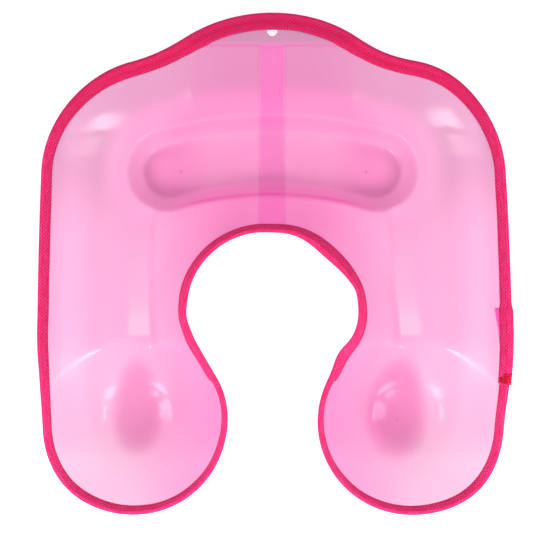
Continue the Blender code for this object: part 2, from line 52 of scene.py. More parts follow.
# Heights and walls
RIM_HEIGHT = 0.0500
GUTTER_HEIGHT_AT_BOWL = 0.0280
GUTTER_HEIGHT_AT_BACK = 0.0180
FLANGE_HEIGHT = 0.0115
SIDE_FLANGE_RUN = 0.0052
LOBE_FLANGE_RUN = 0.0024
NECK_FLANGE_RUN = 0.0064
FLANGE_CURVE = 1.25
FLANGE_FADE = 0.0850
SIDE_RUN = 0.0790
BACK_RUN = 0.0460
NECK_RUN = 0.0283
SIDE_CURVE = 2.0
BACK_CURVE = 1.35
NECK_CURVE = 1.5
BOWL_FLOOR_RADIUS = 0.0178
BOWL_RISE = 0.0395
DISH_RADIUS = 0.0210  # crease round the dished floor, which is too shallow for the solid
DISH_RISE = 0.0034
BOWL_CURVE = 1.5
GROOVE_OUT = 0.0895
GROOVE_DEPTH = 0.0034
GROOVE_RUN = 0.0170
GROOVE_NECK_RUN = 0.0060
GROOVE_FRONT = -0.0230
GROOVE_BACK = 0.0640
GROOVE_FADE = 0.0150
TROUGH_BEND = 0.2870
TROUGH_REACH = 0.1113
TROUGH_HALF_LENGTH = 0.0775
TROUGH_FLOOR_HALF_WIDTH = 0.0185
TROUGH_WALL_RUN = 0.0115
TROUGH_RISE = 0.0200
TROUGH_CURVE = 1.7
BOWL_RIDGE = 0.0075  # softer than the solid's, as the highlights on them show
TROUGH_EDGE = 0.0060
FOLD_SOFTNESS = 0.0012  # crisper than the solid's, which has to stay parallel to its tape

# Thicknesses, tape, seam and bartack
SHEET_THICKNESS = 0.0009
HOLE_RADIUS = 0.0039
HOLE_BELOW_TAPE = 0.0009
STRIP_WIDTH = 0.0160
STRIP_THICKNESS = 0.0005
STRIP_COLUMNS = (0, 1 / 3, 2 / 3, 0.97)  # shares of its half width
STRIP_BELOW_FOLD = 0.0014
STRIP_FROM_TAPE = 0.0010
WELD_LINE_WIDTH = 0.0019  # paler line along each side of the strip, where it was welded
WELD_COLUMNS = (0.15, 1)  # shares of the line's width
SEAT_GAP = 0.0001
TAPE_WIDTH = 0.0109
TAPE_THICKNESS = 0.0010
WANDER = ((0.0061, 0, 0.00014), (0.0173, 1, 0.00016))  # of the tape's width: run, start, how far
LAP_LENGTH = 0.0570
LAP_START_DROP = 0.0012
SEAM_FROM_EDGE = 0.0088
PEEK_WIDTH = 0.0062  # how far the tape's under end shows past its upper end
PEEK_LENGTH = 0.0380
STITCH_PITCH = 0.0032
STITCH_LENGTH = 0.0027
STITCH_RISE = 0.0003
THREAD_RADIUS = 0.00022
TACK_RADIUS = 0.00036
TACK_PITCH = 0.00095
TACK_BLOCKS = (  # metres back from the tape's end, from and to, and share of the way round its fold
    (0.0003, 0.0094, 0.56, 0.99),
    (0.0009, 0.0060, 0.14, 0.62),
)
TACK_STRAYS = ((0.03, 2.3), (0.06, 3.1))  # at each side of a block, how far tacks stray, and in what steps
POINTS_PER_STITCH = 5
LOOSE_END = (
    (0, 0, 0),
    (0.0007, -0.0012, 0.0006),
    (0.0013, -0.0026, 0.0005),
    (0.0012, -0.0039, -0.0001),
    (0.0019, -0.0050, -0.0006),
)
LOOSE_END_RADIUS = 0.00017
PIP_RADIUS = 0.0008
PIP_TOP = 0.6  # a share of the radius, as are the height and width of each ring
PIP_RINGS = ((0.45, 0.6), (0.1, 1.0))
PIPS = (-0.0680 + 0.1010j, 0.0705 + 0.1005j, 0.0935 - 0.0850j)  # vent holes of the mould left these

# How far the soft sheet lies out of true: about a place, a shift that fades over a reach
SLACK = (
    (-0.168 - 0.040j, (0.0016, 0, 0), 0.075),
    (0.168 + 0.060j, (0.0020, 0, 0), 0.070),
    (0.168 - 0.012j, (0.0012, 0, 0), 0.050),
    (0.168 - 0.050j, (0.0011, 0, 0), 0.022),
    (0.144 - 0.127j, (0.0021, -0.0020, 0), 0.034),
    (-0.140 + 0.150j, (0.0009, -0.0009, 0), 0.045),
    (0.209j, (0, -0.0003, 0), 0.040),
    (0.078 + 0.190j, (-0.0005, -0.0010, 0), 0.026),
    (0.122 + 0.168j, (0.0010, 0.0013, 0), 0.032),
    (-0.146 - 0.126j, (-0.0012, -0.0011, 0), 0.034),
    (-0.034 - 0.062j, (0.0010, 0, 0), 0.025),
    (0.061 + 0j, (0.0008, 0, 0), 0.025),
    (0.093 - 0.025j, (0.0045, 0, 0), 0.030),
    (-0.092 + 0.020j, (-0.0022, 0, 0), 0.035),
    (-0.060 - 0.006j, (-0.0011, 0, 0), 0.008),
    (0.058 + 0.013j, (0.0010, 0, 0), 0.007),
)

# How finely the forms are drawn
EDGE_STEP = 0.0022
SHEET_STEP = 0.0016
CLEAR_OF_EDGE = 0.55  # steps that the mesh inside keeps from the edge, and from the hole
CLEAR_OF_HOLE = 0.4
WELL_IN_HOLE = 0.9  # faces with their middle inside this share of its radius are cut out
STRIP_STEP = 0.0016
HOLE_SIDES = 40
TUBE_SIDES = 6
NEARLY_UP = (0.13, 0.07, 0.99)  # no thread runs this way, so each section can be turned by it
ACROSS_TAPE = 13  # points across one side of the folded tape
FOLD_POINTS = 5
LAP_RISE_RINGS = 3  # rings over which the tape climbs on to its own start
WALL_SAMPLES = 24
ROWS_AT_ONCE = 4000

# Where the neck's edge is stretched and lies flatter: direction, how far round, how far in, how far down
FLARES = (
    (0.84, 0.46, 0.0049, 0.0030),
    (-0.70, 0.24, 0.0027, 0.0013),
    (-2.46, 0.22, 0.0016, 0.0008),
)
FLARE_REACH = 0.0085
FLARE_MOST = 1.2  # the tape's fold lies past the edge and moves more than the edge does

# Looks of the film: its palest and deepest colour and the depths of tint that they stand for
PALE_FILM, PALE_DEPTH = "F4DAE9", 0.60
DEEP_FILM, DEEP_DEPTH = "F4AAD9", 1.80
HALF_SHADE = "201018"
ARM_DEPTH = 0.71
PIP_DEPTH = 0.9
BODY_SHARE = 0.25
PVC_IOR = 1.53
SKIN_ROUGHNESS = 0.21
POLISHED_ROUGHNESS = 0.07
UNEVEN_ROUGHNESS = 0.06
RIPPLE_SCALE = 90.0  # swells of about 11 mm, which the heated sheet took as it was drawn
RIPPLE_STRENGTH = 0.12
RIPPLE_HEIGHT = 0.0004
STRIP_FILM = "FFF6FD"
STRIP_BODY, WELD_BODY = "FF6EC8", "FFB4D4"
STRIP_BODY_SHARE = 0.03
WELD_MILK = (0.04, 0.10)
WELD_CLOUD_SCALE = 220.0  # clouds of about 5 mm
STRIP_ROUGHNESS = 0.16

# Painted contact shade at the feet of the bowls, which lie on the table, deepening the tint: centre, half width,
# half length, how much deeper
FOOT_CONTACT_SHADE = (
    (-0.1008 - 0.0740j, 0.0172, 0.0330, 0.40),
    (0.0926 - 0.0747j, 0.0206, 0.0345, 0.55),
)
FOOT_NARROWING = 0.14
FOOT_LIMIT = 1.60  # the foot ends where the egg's measure reaches this
FOOT_SOFTNESS = 1.4
# how much darker the painted contact shade makes the feet
FOOT_SHADE = 0.064
POLISHED = (  # places where the mould's smooth curves left the film glossiest, and how far each reaches
    (-0.1265 + 0.1355j, 0.014),
    (0.1292 + 0.1326j, 0.014),
    (-0.1214 - 0.0794j, 0.010),
    (-0.0812 - 0.0740j, 0.014),
    (0.0767 - 0.0770j, 0.014),
    (0.1199 - 0.0810j, 0.011),
    (0.1244 - 0.0325j, 0.014),
    (-0.1268 - 0.0318j, 0.012),
    (-0.0965 - 0.0225j, 0.006),
    (0.0942 - 0.0221j, 0.006),
    (-0.0983 + 0.1210j, 0.008),
    (0.0945 + 0.1195j, 0.007),
)
TROUGH_CORNER = 0.0775 + 0.0970j  # where the trough's end meets its front wall

# Half shade round the trough's floor: its middle, width and end in half widths of the floor, where the
# trough's end begins and is full, how far back it reaches there, and its share at the front and the ends
CORNER_RING, CORNER_RING_WIDTH, CORNER_RING_END = 0.98, 0.44, 1.18
CORNER_FROM, CORNER_FULL = 0.040, 0.075
CORNER_BACK, CORNER_BACK_AT_END, CORNER_FADE = 0.003, 0.010, 0.016
CORNER_FRONT_SHARE, CORNER_END_SHARE = 0.25, 0.65
# Painted half shade round the trough's floor: how much it deepens the tint, and how much it darkens the film
CORNER_SHADE_TINT = 0.14
CORNER_SHADE = 0.080

# The sharp crease between trough and neck, an arc
CREASE_BEND = 0.2587
CREASE_REACH = 0.0832
CREASE_HALF_LENGTH = 0.0780
CREASE_EVEN_SHARE = 0.6
CREASE_WIDTH = 0.0024
CREASE_TINT = 0.42

# Looks of the tape, with its patterns in millimetres of cloth
DYE_DEEP, DYE_PALE = "E62268", "FE448E"
DARKER_TAPE = "AC083C"
UNFADED_TAPE = "FF5CB2"
# colour of the weave's pinpricks and of the painted shadow at the fold, along the seam's furrow and at the cut
# edge
PRICKS_AND_TAPE_SHADOW = "94083A"
TAPE_MM = TAPE_WIDTH * 1000
STRETCH = 0.4  # how much of its rise shows in the weave where the cloth is drawn down over the steep edge
WEAVE_PITCH = 1.28  # coarser than the real cloth's, to show at the photograph's size
RIB_PITCH = 1.10
RIB_HEIGHT = 0.25  # against the pinpricks' depth
PRICK_DEPTH = 0.85
PRICK_WIDTH = 0.65  # share of the weave's wave past which a pinprick is at its darkest
MOTTLE_SCALE = 260.0  # patches of about 4 mm, as the dye took
MOTTLE_SPREAD = (0.38, 0.62)
DRAWN_IN = (0.30, 1.20)
DYE_SPREAD = (0.82, 1.18)
GRAIN = (0.12, 1.1, 1)  # streaks run 9 times as long as they are wide
UNDER_END_EDGE = 0.3  # how softly the under end's fresher colour begins
FOLD_SHADOW = (0.2, 0.9, 0.22)  # full out to, gone at, how dark
FURROW_SHADOW = (0.2, 1.0, 0.13)
EDGE_SHADOW = (0.7, 0.2, 0.3)  # begins at, full from, how dark
CLOTH_RELIEF = 0.7
CLOTH_DEPTH = 0.00025  # of its relief, in metres
POLYESTER_ROUGHNESS = 0.75
THREAD_ROUGHNESS = 0.70
POLYESTER_SPECULAR = 0.12  # matt fibres
CLOTH_SHEEN = 0.04
TWIST_SCALE = 900.0  # lines 0.7 mm apart along a thread, about twice as coarse as real ones, to show

# Where the tape is darker, more so towards the back: how much, and the places in plan where that starts and is
# full
OUTER_DARKENING = ((0.26, -0.080, -0.010), (0.44, 0.100, 0.160))
NECK_DARKENING = ((0.26, -0.030, 0.030),)
# Painted shade: a darker band down the middle of the tape on the tab, standing for the shade of the cupped cloth
TAB_SHADE_BAND, TAB_SHADE_BAND_AT, TAB_SHADE_BAND_WIDTH = 0.18, 0.50, 0.20  # how dark; where, in tape widths
TAB_SHADE_BAND_FROM, TAB_SHADE_BAND_FULL = -0.030, -0.010  # from the fold line back

# Studio: softboxes at each side (name, place of the right one, size, watts), levels, table and camera
SOFTBOXES = (
    ("long_softbox", (0.84, -0.40, 1.15), (0.20, 0.50), 4),
    ("low_softbox", (0.80, -1.12, 1.15), (0.44, 0.56), 17),
)
WORLD_LEVEL = 0.81
TABLE_COLOUR = "D3D3D3"
TABLE_GLOW = 0.50
TABLE_HALF_SIDE = 6.0
TABLE_DROP = 0.0003
CAMERA_PLACE = (-0.00464, -0.00203, 0.950)
CAMERA_ANGLE = 23.77

BACK_REACH = TROUGH_REACH + BACK_FROM_TROUGH
TAB_REACH = BACK_REACH + TAB_FROM_BACK
HALF_WIDTH = THROAT_WIDTH / 2 + 2 * LOBE_RADIUS
NECK_CENTRE = complex(NECK_FLAT / 2, 0)
LOBE_AWAY = math.hypot(LOBE_RADIUS + NECK_RADIUS, THROAT_STRAIGHT)
LOBE_X = THROAT_WIDTH / 2 + LOBE_RADIUS
LOBE_CENTRE = complex(LOBE_X, -math.sqrt(LOBE_AWAY**2 - (LOBE_X - NECK_FLAT / 2) ** 2))
HIP_CENTRE = complex(HALF_WIDTH + HIP_BULGE - HIP_RADIUS, -HIP_DROP)
SHOULDER_CENTRE = complex(HALF_WIDTH - SHOULDER_RADIUS, BACK_REACH - SHOULDER_RADIUS)
TAB_CENTRE = complex(0, TAB_REACH - TAB_RADIUS)
FOLD_LINE = TAB_REACH - TAB_LIP


def disc_between(first, first_radius, second, second_radius, radius):
    """Centre of the hollow round that touches two discs from outside, on their back side."""
    apart = abs(second - first)
    near, far = first_radius + radius, second_radius + radius
    along = (near**2 - far**2 + apart**2) / (2 * apart)
    return first + (second - first) / apart * complex(along, math.sqrt(near**2 - along**2))


def edge_discs():
    fillet = disc_between(TAB_CENTRE, TAB_RADIUS, SHOULDER_CENTRE, SHOULDER_RADIUS, TAB_FILLET)
    return [
        (TAB_CENTRE, TAB_RADIUS, 1),
        (fillet, TAB_FILLET, -1),
        (SHOULDER_CENTRE, SHOULDER_RADIUS, 1),
        (HIP_CENTRE, HIP_RADIUS, 1),
        (LOBE_CENTRE, LOBE_RADIUS, 1),
        (NECK_CENTRE, NECK_RADIUS, -1),
    ]


def heading_between(disc, other):
    """Direction of the straight run that leaves one disc and meets the next."""
    centre, radius, side = disc
    other_centre, other_radius, other_side = other
    apart = other_centre - centre
    across = other_side * other_radius - side * radius
    along = math.sqrt(max(abs(apart) ** 2 - across**2, 0))
    return apart / complex(along, -across)


def half_edge(step):
    """Points on the right half of the edge, clockwise from the tab to the neck, each with its way inward
    and the number of its disc."""
    discs = edge_discs()
    headings = [1] + [heading_between(a, b) for a, b in zip(discs, discs[1:])] + [-1]
    points = []
    for number, (centre, radius, side) in enumerate(discs):
        arriving, leaving = headings[number], headings[number + 1]
        turn = side * cmath.phase(arriving / leaving)
        turn = turn + 2 * math.pi if turn < -1 / 2 else max(turn, 0)  # a small negative turn is rounding
        count = max(math.ceil(turn * radius / step), 1)
        for k in range(count + 1):
            heading = arriving * cmath.exp(-1j * side * turn * k / count)
            points.append((centre + 1j * side * radius * heading, -1j * heading, number))
    points.append((complex(0, NECK_RADIUS), 1j, len(discs) - 1))
    return spread(points, step)


def spread(points, step):
    """Adds points along the straight runs, and drops those that lie on one another."""
    kept = [points[0]]
    for point, inward, number in points[1:]:
        last, last_inward, _ = kept[-1]
        length = abs(point - last)
        if length < step / 8:
            continue
        for k in range(1, math.ceil(length / step)):
            kept.append((last + (point - last) * k / math.ceil(length / step), last_inward, number))
        kept.append((point, inward, number))
    return kept


HALF_EDGE = half_edge(EDGE_STEP)
NECK_DISC = len(edge_discs()) - 1
OUTER_RUN = np.array([point for point, _, disc in HALF_EDGE if disc < NECK_DISC])
NECK_RUN_POINTS = np.array([point for point, _, disc in HALF_EDGE if disc == NECK_DISC])
LEFT_EDGE = [(-point.conjugate(), -inward.conjugate(), disc) for point, inward, disc in HALF_EDGE[-2:0:-1]]
EDGE_POINTS, EDGE_INWARDS, EDGE_DISCS = (np.array(column) for column in zip(*(HALF_EDGE + LEFT_EDGE)))


def away_from(run, points):
    """Distance in plan from each point to a run of straight pieces."""
    pieces = np.diff(run)
    least = []
    for first in range(0, len(points), ROWS_AT_ONCE):
        offsets = points[first:first + ROWS_AT_ONCE, None] - run[None, :-1]
        shares = np.clip((offsets * pieces.conj()).real / np.abs(pieces) ** 2, 0, 1)
        least.append(np.abs(offsets - shares * pieces).min(axis=1))
    return np.concatenate(least)


def away_from_trough_line(points):
    """Distance in plan to the trough's centre line, an arc about a point in front of the neck."""
    pivot = complex(0, TROUGH_REACH - TROUGH_BEND)
    half_angle = TROUGH_HALF_LENGTH / TROUGH_BEND
    end = pivot + TROUGH_BEND * cmath.exp(1j * (math.pi / 2 - half_angle))
    spokes = points - pivot
    beside = np.arctan2(spokes.real, spokes.imag) < half_angle
    return np.where(beside, np.abs(np.abs(spokes) - TROUGH_BEND), np.abs(points - end))


def soft_min(first, second, width):
    """The lower of two forms, rounded over where they meet."""
    near = np.clip(1 - np.abs(first - second) / width, 0, 1)
    return np.minimum(first, second) - near**2 * width / 4


def eased(share):
    share = np.clip(share, 0, 1)
    return share * share * (3 - 2 * share)


def fade(value, nothing, full):
    """Share that grows smoothly from where it is nothing to where it is full."""
    return eased((value - nothing) / (full - nothing))


def hump(value, middle, width):
    """Share that falls away smoothly on both sides of a middle."""
    return np.exp(-(((value - middle) / width) ** 2))


def lengths_along(line):
    """Length from the start of a line of points to each of them."""
    return np.concatenate([[0], np.cumsum(np.linalg.norm(np.diff(line, axis=0), axis=1))])


def flange_height(points):
    """Full height of the turned-up edge beside each plan point: none at the tab."""
    return FLANGE_HEIGHT * eased((FOLD_LINE - points.imag) / FLANGE_FADE)


def flange(points):
    """Height that the turned-up edge adds to the form inside it."""
    forward = eased(points.imag / LOBE_CENTRE.imag)
    run = SIDE_FLANGE_RUN + (LOBE_FLANGE_RUN - SIDE_FLANGE_RUN) * forward
    outer = np.clip(1 - away_from(OUTER_RUN, points) / run, 0, 1) ** FLANGE_CURVE
    neck = np.clip(1 - away_from(NECK_RUN_POINTS, points) / NECK_FLANGE_RUN, 0, 1) ** FLANGE_CURVE
    return flange_height(points) * np.maximum(outer, neck)


def horseshoe_height(points):
    """The horseshoe without its bowls and trough: walls down from the edge to a gently sloping floor."""
    back = eased(points.imag / TROUGH_REACH)
    run = SIDE_RUN + (BACK_RUN - SIDE_RUN) * back
    curve = SIDE_CURVE + (BACK_CURVE - SIDE_CURVE) * back
    from_fold = FOLD_LINE - points.imag
    from_fold = (from_fold + np.hypot(from_fold, FOLD_SOFTNESS)) / 2
    from_edge = np.minimum(away_from(OUTER_RUN, points), from_fold)
    outer_wall = np.clip(1 - from_edge / run, 0, 1) ** curve
    neck_wall = np.clip(1 - away_from(NECK_RUN_POINTS, points) / NECK_RUN, 0, 1) ** NECK_CURVE
    wall = outer_wall + neck_wall - outer_wall * neck_wall
    back_share = np.clip((points.imag - LOBE_CENTRE.imag) / (TROUGH_REACH - LOBE_CENTRE.imag), 0, 1)
    floor = GUTTER_HEIGHT_AT_BOWL + (GUTTER_HEIGHT_AT_BACK - GUTTER_HEIGHT_AT_BOWL) * back_share
    return floor + (RIM_HEIGHT - flange_height(points) - floor) * wall


def bowl_height(points):
    """A bowl: a round floor, a little dished, and a wall up to the arm's round edge."""
    out = np.abs(points - LOBE_CENTRE)
    wall = bowl_wall(out) - bowl_wall(DISH_RADIUS)
    past = np.clip(1 - (out - DISH_RADIUS) / (LOBE_RADIUS - DISH_RADIUS), 0, 1)
    return np.where(out < DISH_RADIUS, DISH_RISE * (out / DISH_RADIUS) ** 2, wall + DISH_RISE * past**2)


def bowl_wall(out):
    from_floor = np.clip(out - BOWL_FLOOR_RADIUS, 0, None)
    return BOWL_RISE * (from_floor / (LOBE_RADIUS - BOWL_FLOOR_RADIUS)) ** BOWL_CURVE


def groove(points):
    """Depth of the crease along a gutter, below the form around it."""
    out = points.real - GROOVE_OUT
    across = np.clip(1 - np.where(out > 0, out / GROOVE_RUN, -out / GROOVE_NECK_RUN), 0, 1)
    front = eased((points.imag - GROOVE_FRONT) / GROOVE_FADE + 1)
    back = eased((GROOVE_BACK - points.imag) / GROOVE_FADE + 1)
    return GROOVE_DEPTH * across * front * back


def sheet_height(plan_points):
    """Height of the middle of the sheet over the floors of its bowls."""
    points = np.atleast_1d(np.asarray(plan_points, complex))
    points = np.abs(points.real) + 1j * points.imag
    from_floor = np.clip(away_from_trough_line(points) - TROUGH_FLOOR_HALF_WIDTH, 0, None)
    trough = TROUGH_RISE * (from_floor / TROUGH_WALL_RUN) ** TROUGH_CURVE
    height = soft_min(horseshoe_height(points) - groove(points), bowl_height(points), BOWL_RIDGE)
    return soft_min(height, trough, TROUGH_EDGE) + flange(points)


def lifted(points):
    """Points in space, on the middle of the sheet, over plan points."""
    points = np.asarray(points, complex).ravel()
    return np.column_stack([points.real, points.imag, sheet_height(points)])


def normalised(vectors):
    return vectors / np.linalg.norm(vectors, axis=-1, keepdims=True)


def upward_normals(plan):
    """Normals of the sheet away from its edge."""
    plan = np.asarray(plan, complex)
    step = SHEET_THICKNESS / 4
    across = lifted(plan + step) - lifted(plan - step)
    along = lifted(plan + 1j * step) - lifted(plan - 1j * step)
    return normalised(np.cross(across, along))


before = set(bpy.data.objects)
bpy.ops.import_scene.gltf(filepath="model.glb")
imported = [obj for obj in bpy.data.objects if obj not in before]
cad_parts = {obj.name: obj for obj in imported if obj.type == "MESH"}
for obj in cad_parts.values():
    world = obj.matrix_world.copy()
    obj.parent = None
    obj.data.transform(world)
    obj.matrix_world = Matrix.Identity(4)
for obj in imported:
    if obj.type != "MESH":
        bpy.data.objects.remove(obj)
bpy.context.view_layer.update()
STRIP_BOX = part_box("centre_strip")
ORIGIN = np.array([
    (STRIP_BOX[0].x + STRIP_BOX[1].x) / 2,
    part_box("tray_shell")[1].y - TAB_REACH,
    SHEET_THICKNESS / 2,
])


def linear(hex_colour):
    """An sRGB colour in hex digits as linear red, green, blue and a full alpha."""
    shares = [int(hex_colour[k:k + 2], 16) / 255 for k in (0, 2, 4)]
    return (*[s / 12.92 if s <= 0.04045 else ((s + 0.055) / 1.055) ** 2.4 for s in shares], 1)


def add(tree, kind, inputs=None, **settings):
    """Outputs of a new node with its settings, its inputs either values or the sockets that feed them. A
    shader node's kind is given without its first words."""
    node = tree.nodes.new(kind if "Node" in kind else "ShaderNode" + kind)
    for name, value in settings.items():
        setattr(node, name, value)
    for name, value in (inputs or {}).items():
        if isinstance(value, bpy.types.NodeSocket):
            tree.links.new(value, node.inputs[name])
        else:
            node.inputs[name].default_value = value
    return node.outputs


def new_material(name):
    finish = bpy.data.materials.new(name)
    finish.use_nodes = True
    finish.node_tree.nodes.clear()
    return finish, finish.node_tree


def settled(points):
    """Points of the true form moved to where the soft sheet has settled, and to where the tray stands."""
    plan = points[:, 0] + 1j * points[:, 1]
    moved = points + ORIGIN
    for place, shift, reach in SLACK:
        share = hump(np.abs(plan - place), 0, reach)
        moved += share[:, None] * np.array(shift)
    out = plan - NECK_CENTRE
    near = np.clip(1 - (np.abs(out) - NECK_RADIUS) / FLARE_REACH, 0, FLARE_MOST)
    for turn, spread_round, inward, down in FLARES:
        share = near * hump(np.angle(out), turn, spread_round)
        shift = -out / np.abs(out) * inward
        moved += share[:, None] * np.column_stack([shift.real, shift.imag, np.full(len(out), -down)])
    return moved


def mesh_piece(name, points, faces, finish):
    """A smooth mesh object, its points given in the tray's plan."""
    mesh = bpy.data.meshes.new(name)
    mesh.from_pydata(settled(np.asarray(points, float)).tolist(), [], [tuple(face) for face in faces])
    mesh.materials.append(finish)
    mesh.shade_smooth()
    piece = bpy.data.objects.new(name, mesh)
    bpy.context.collection.objects.link(piece)
    return piece


def stand_for(piece, node):
    """Lets a finished piece take the place of a node of the solids."""
    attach(piece, "root")
    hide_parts(node)


def give_attribute(piece, name, values):
    attribute = piece.data.attributes.new(name, "FLOAT", "POINT")
    attribute.data.foreach_set("value", np.asarray(values, np.float32))


def thicken(piece, name, thickness, offset):
    wall = piece.modifiers.new(name, "SOLIDIFY")
    wall.thickness = thickness
    wall.offset = offset


def depth_share(depth):
    """Where a depth of tint lies between the palest colour of the film and its deepest."""
    least, most = math.exp(-PALE_DEPTH), math.exp(-DEEP_DEPTH)
    return (least - np.exp(-depth)) / (least - most)


def tinted(tree, film, shade):
    """The film's colour: between its palest and its deepest, then in the half shade of the walls round it."""
    tint = add(tree, "Mix", {
        "Factor": film, "A": linear(PALE_FILM), "B": linear(DEEP_FILM),
    }, data_type="RGBA")["Result"]
    return add(tree, "Mix", {
        "Factor": shade, "A": tint, "B": linear(HALF_SHADE),
    }, data_type="RGBA")["Result"]


def clear_pvc():
    """Vacuum-formed clear PVC, tinted pink in the mass. It shows the table through it, deeper where the film was
    drawn less and at a sharp crease, and its wet-looking skin gives small bright highlights. Painted shade
    deepens and darkens its colour at the feet of the bowls, round the trough's floor and by the back edge, and a
    painted highlight makes it paler along each gutter."""
    finish, tree = new_material("vacuum formed clear pink PVC")
    film, shade, polish = (
        add(tree, "Attribute", attribute_name=name)["Fac"] for name in ("film", "shade", "polish")
    )
    place = add(tree, "TexCoord")["Object"]
    flat = add(tree, "VectorMath", {0: place, 1: (1, 1, 0)}, operation="MULTIPLY")["Vector"]
    pivot = (ORIGIN[0], ORIGIN[1] + CREASE_REACH - CREASE_BEND, 0)
    spoke = add(tree, "VectorMath", {0: flat, 1: pivot}, operation="DISTANCE")["Value"]
    off_crease = add(tree, "Math", {0: spoke, 1: CREASE_BEND}, operation="SUBTRACT")[0]
    beside = add(tree, "Math", {0: off_crease}, operation="ABSOLUTE")[0]
    line = add(tree, "MapRange", {
        "Value": beside, "From Max": CREASE_WIDTH, "To Min": CREASE_TINT, "To Max": 0.0,
    }, interpolation_type="SMOOTHSTEP")["Result"]
    right, back, _ = add(tree, "SeparateXYZ", {0: place})
    from_middle = add(tree, "Math", {0: right}, operation="ABSOLUTE")[0]
    fading = add(tree, "MapRange", {
        "Value": from_middle, "From Min": CREASE_HALF_LENGTH * CREASE_EVEN_SHARE,
        "From Max": CREASE_HALF_LENGTH, "To Min": 1.0, "To Max": 0.0,
    })["Result"]
    behind_neck = add(tree, "Math", {0: back, 1: 0.0}, operation="GREATER_THAN")[0]
    crease = add(tree, "Math", {0: line, 1: fading}, operation="MULTIPLY")[0]
    deeper = add(tree, "Math", {0: crease, 1: behind_neck, 2: film}, operation="MULTIPLY_ADD")[0]
    colour = tinted(tree, deeper, shade)
    ripple = add(tree, "TexNoise", {"Vector": place, "Scale": RIPPLE_SCALE, "Detail": 2.0})["Fac"]
    bump = add(tree, "Bump", {
        "Height": ripple, "Strength": RIPPLE_STRENGTH, "Distance": RIPPLE_HEIGHT,
    })["Normal"]
    skin = add(tree, "MapRange", {
        "Value": polish, "To Min": SKIN_ROUGHNESS, "To Max": POLISHED_ROUGHNESS,
    })["Result"]
    gloss = add(tree, "Math", {
        0: ripple, 1: UNEVEN_ROUGHNESS, 2: skin,
    }, operation="MULTIPLY_ADD")[0]
    solid = add(tree, "BsdfPrincipled", {
        "Base Color": colour, "Roughness": gloss, "IOR": PVC_IOR, "Normal": bump,
    })[0]
    through = add(tree, "BsdfTransparent", {"Color": colour})[0]
    mixed = add(tree, "MixShader", {0: BODY_SHARE, 1: through, 2: solid})[0]
    add(tree, "OutputMaterial", {"Surface": mixed})
    return finish


def welded_pvc():
    """The strip of the same film on top of the sheet: a little less green comes through two layers. The weld
    along each side is milky, so it shows as a paler line."""
    finish, tree = new_material("welded strip of clear pink PVC")
    weld = add(tree, "Attribute", attribute_name="weld")["Fac"]
    place = add(tree, "TexCoord")["Object"]
    cloud = add(tree, "TexNoise", {
        "Vector": place, "Scale": WELD_CLOUD_SCALE, "Detail": 3.0,
    })["Fac"]
    milky = add(tree, "MapRange", {
        "Value": cloud, "To Min": WELD_MILK[0], "To Max": WELD_MILK[1],
    })["Result"]
    share = add(tree, "Mix", {
        "Factor": weld, "A": STRIP_BODY_SHARE, "B": milky,
    }, data_type="FLOAT")["Result"]
    body = add(tree, "Mix", {
        "Factor": weld, "A": linear(STRIP_BODY), "B": linear(WELD_BODY),
    }, data_type="RGBA")["Result"]
    solid = add(tree, "BsdfPrincipled", {
        "Base Color": body, "Roughness": STRIP_ROUGHNESS, "IOR": PVC_IOR,
    })[0]
    through = add(tree, "BsdfTransparent", {"Color": linear(STRIP_FILM)})[0]
    mixed = add(tree, "MixShader", {0: share, 1: through, 2: solid})[0]
    add(tree, "OutputMaterial", {"Surface": mixed})
    return finish


def wave(tree, value, period):
    """A sine along a length in millimetres."""
    turns = add(tree, "Math", {0: value, 1: 2 * math.pi / period}, operation="MULTIPLY")[0]
    return add(tree, "Math", {0: turns}, operation="SINE")[0]


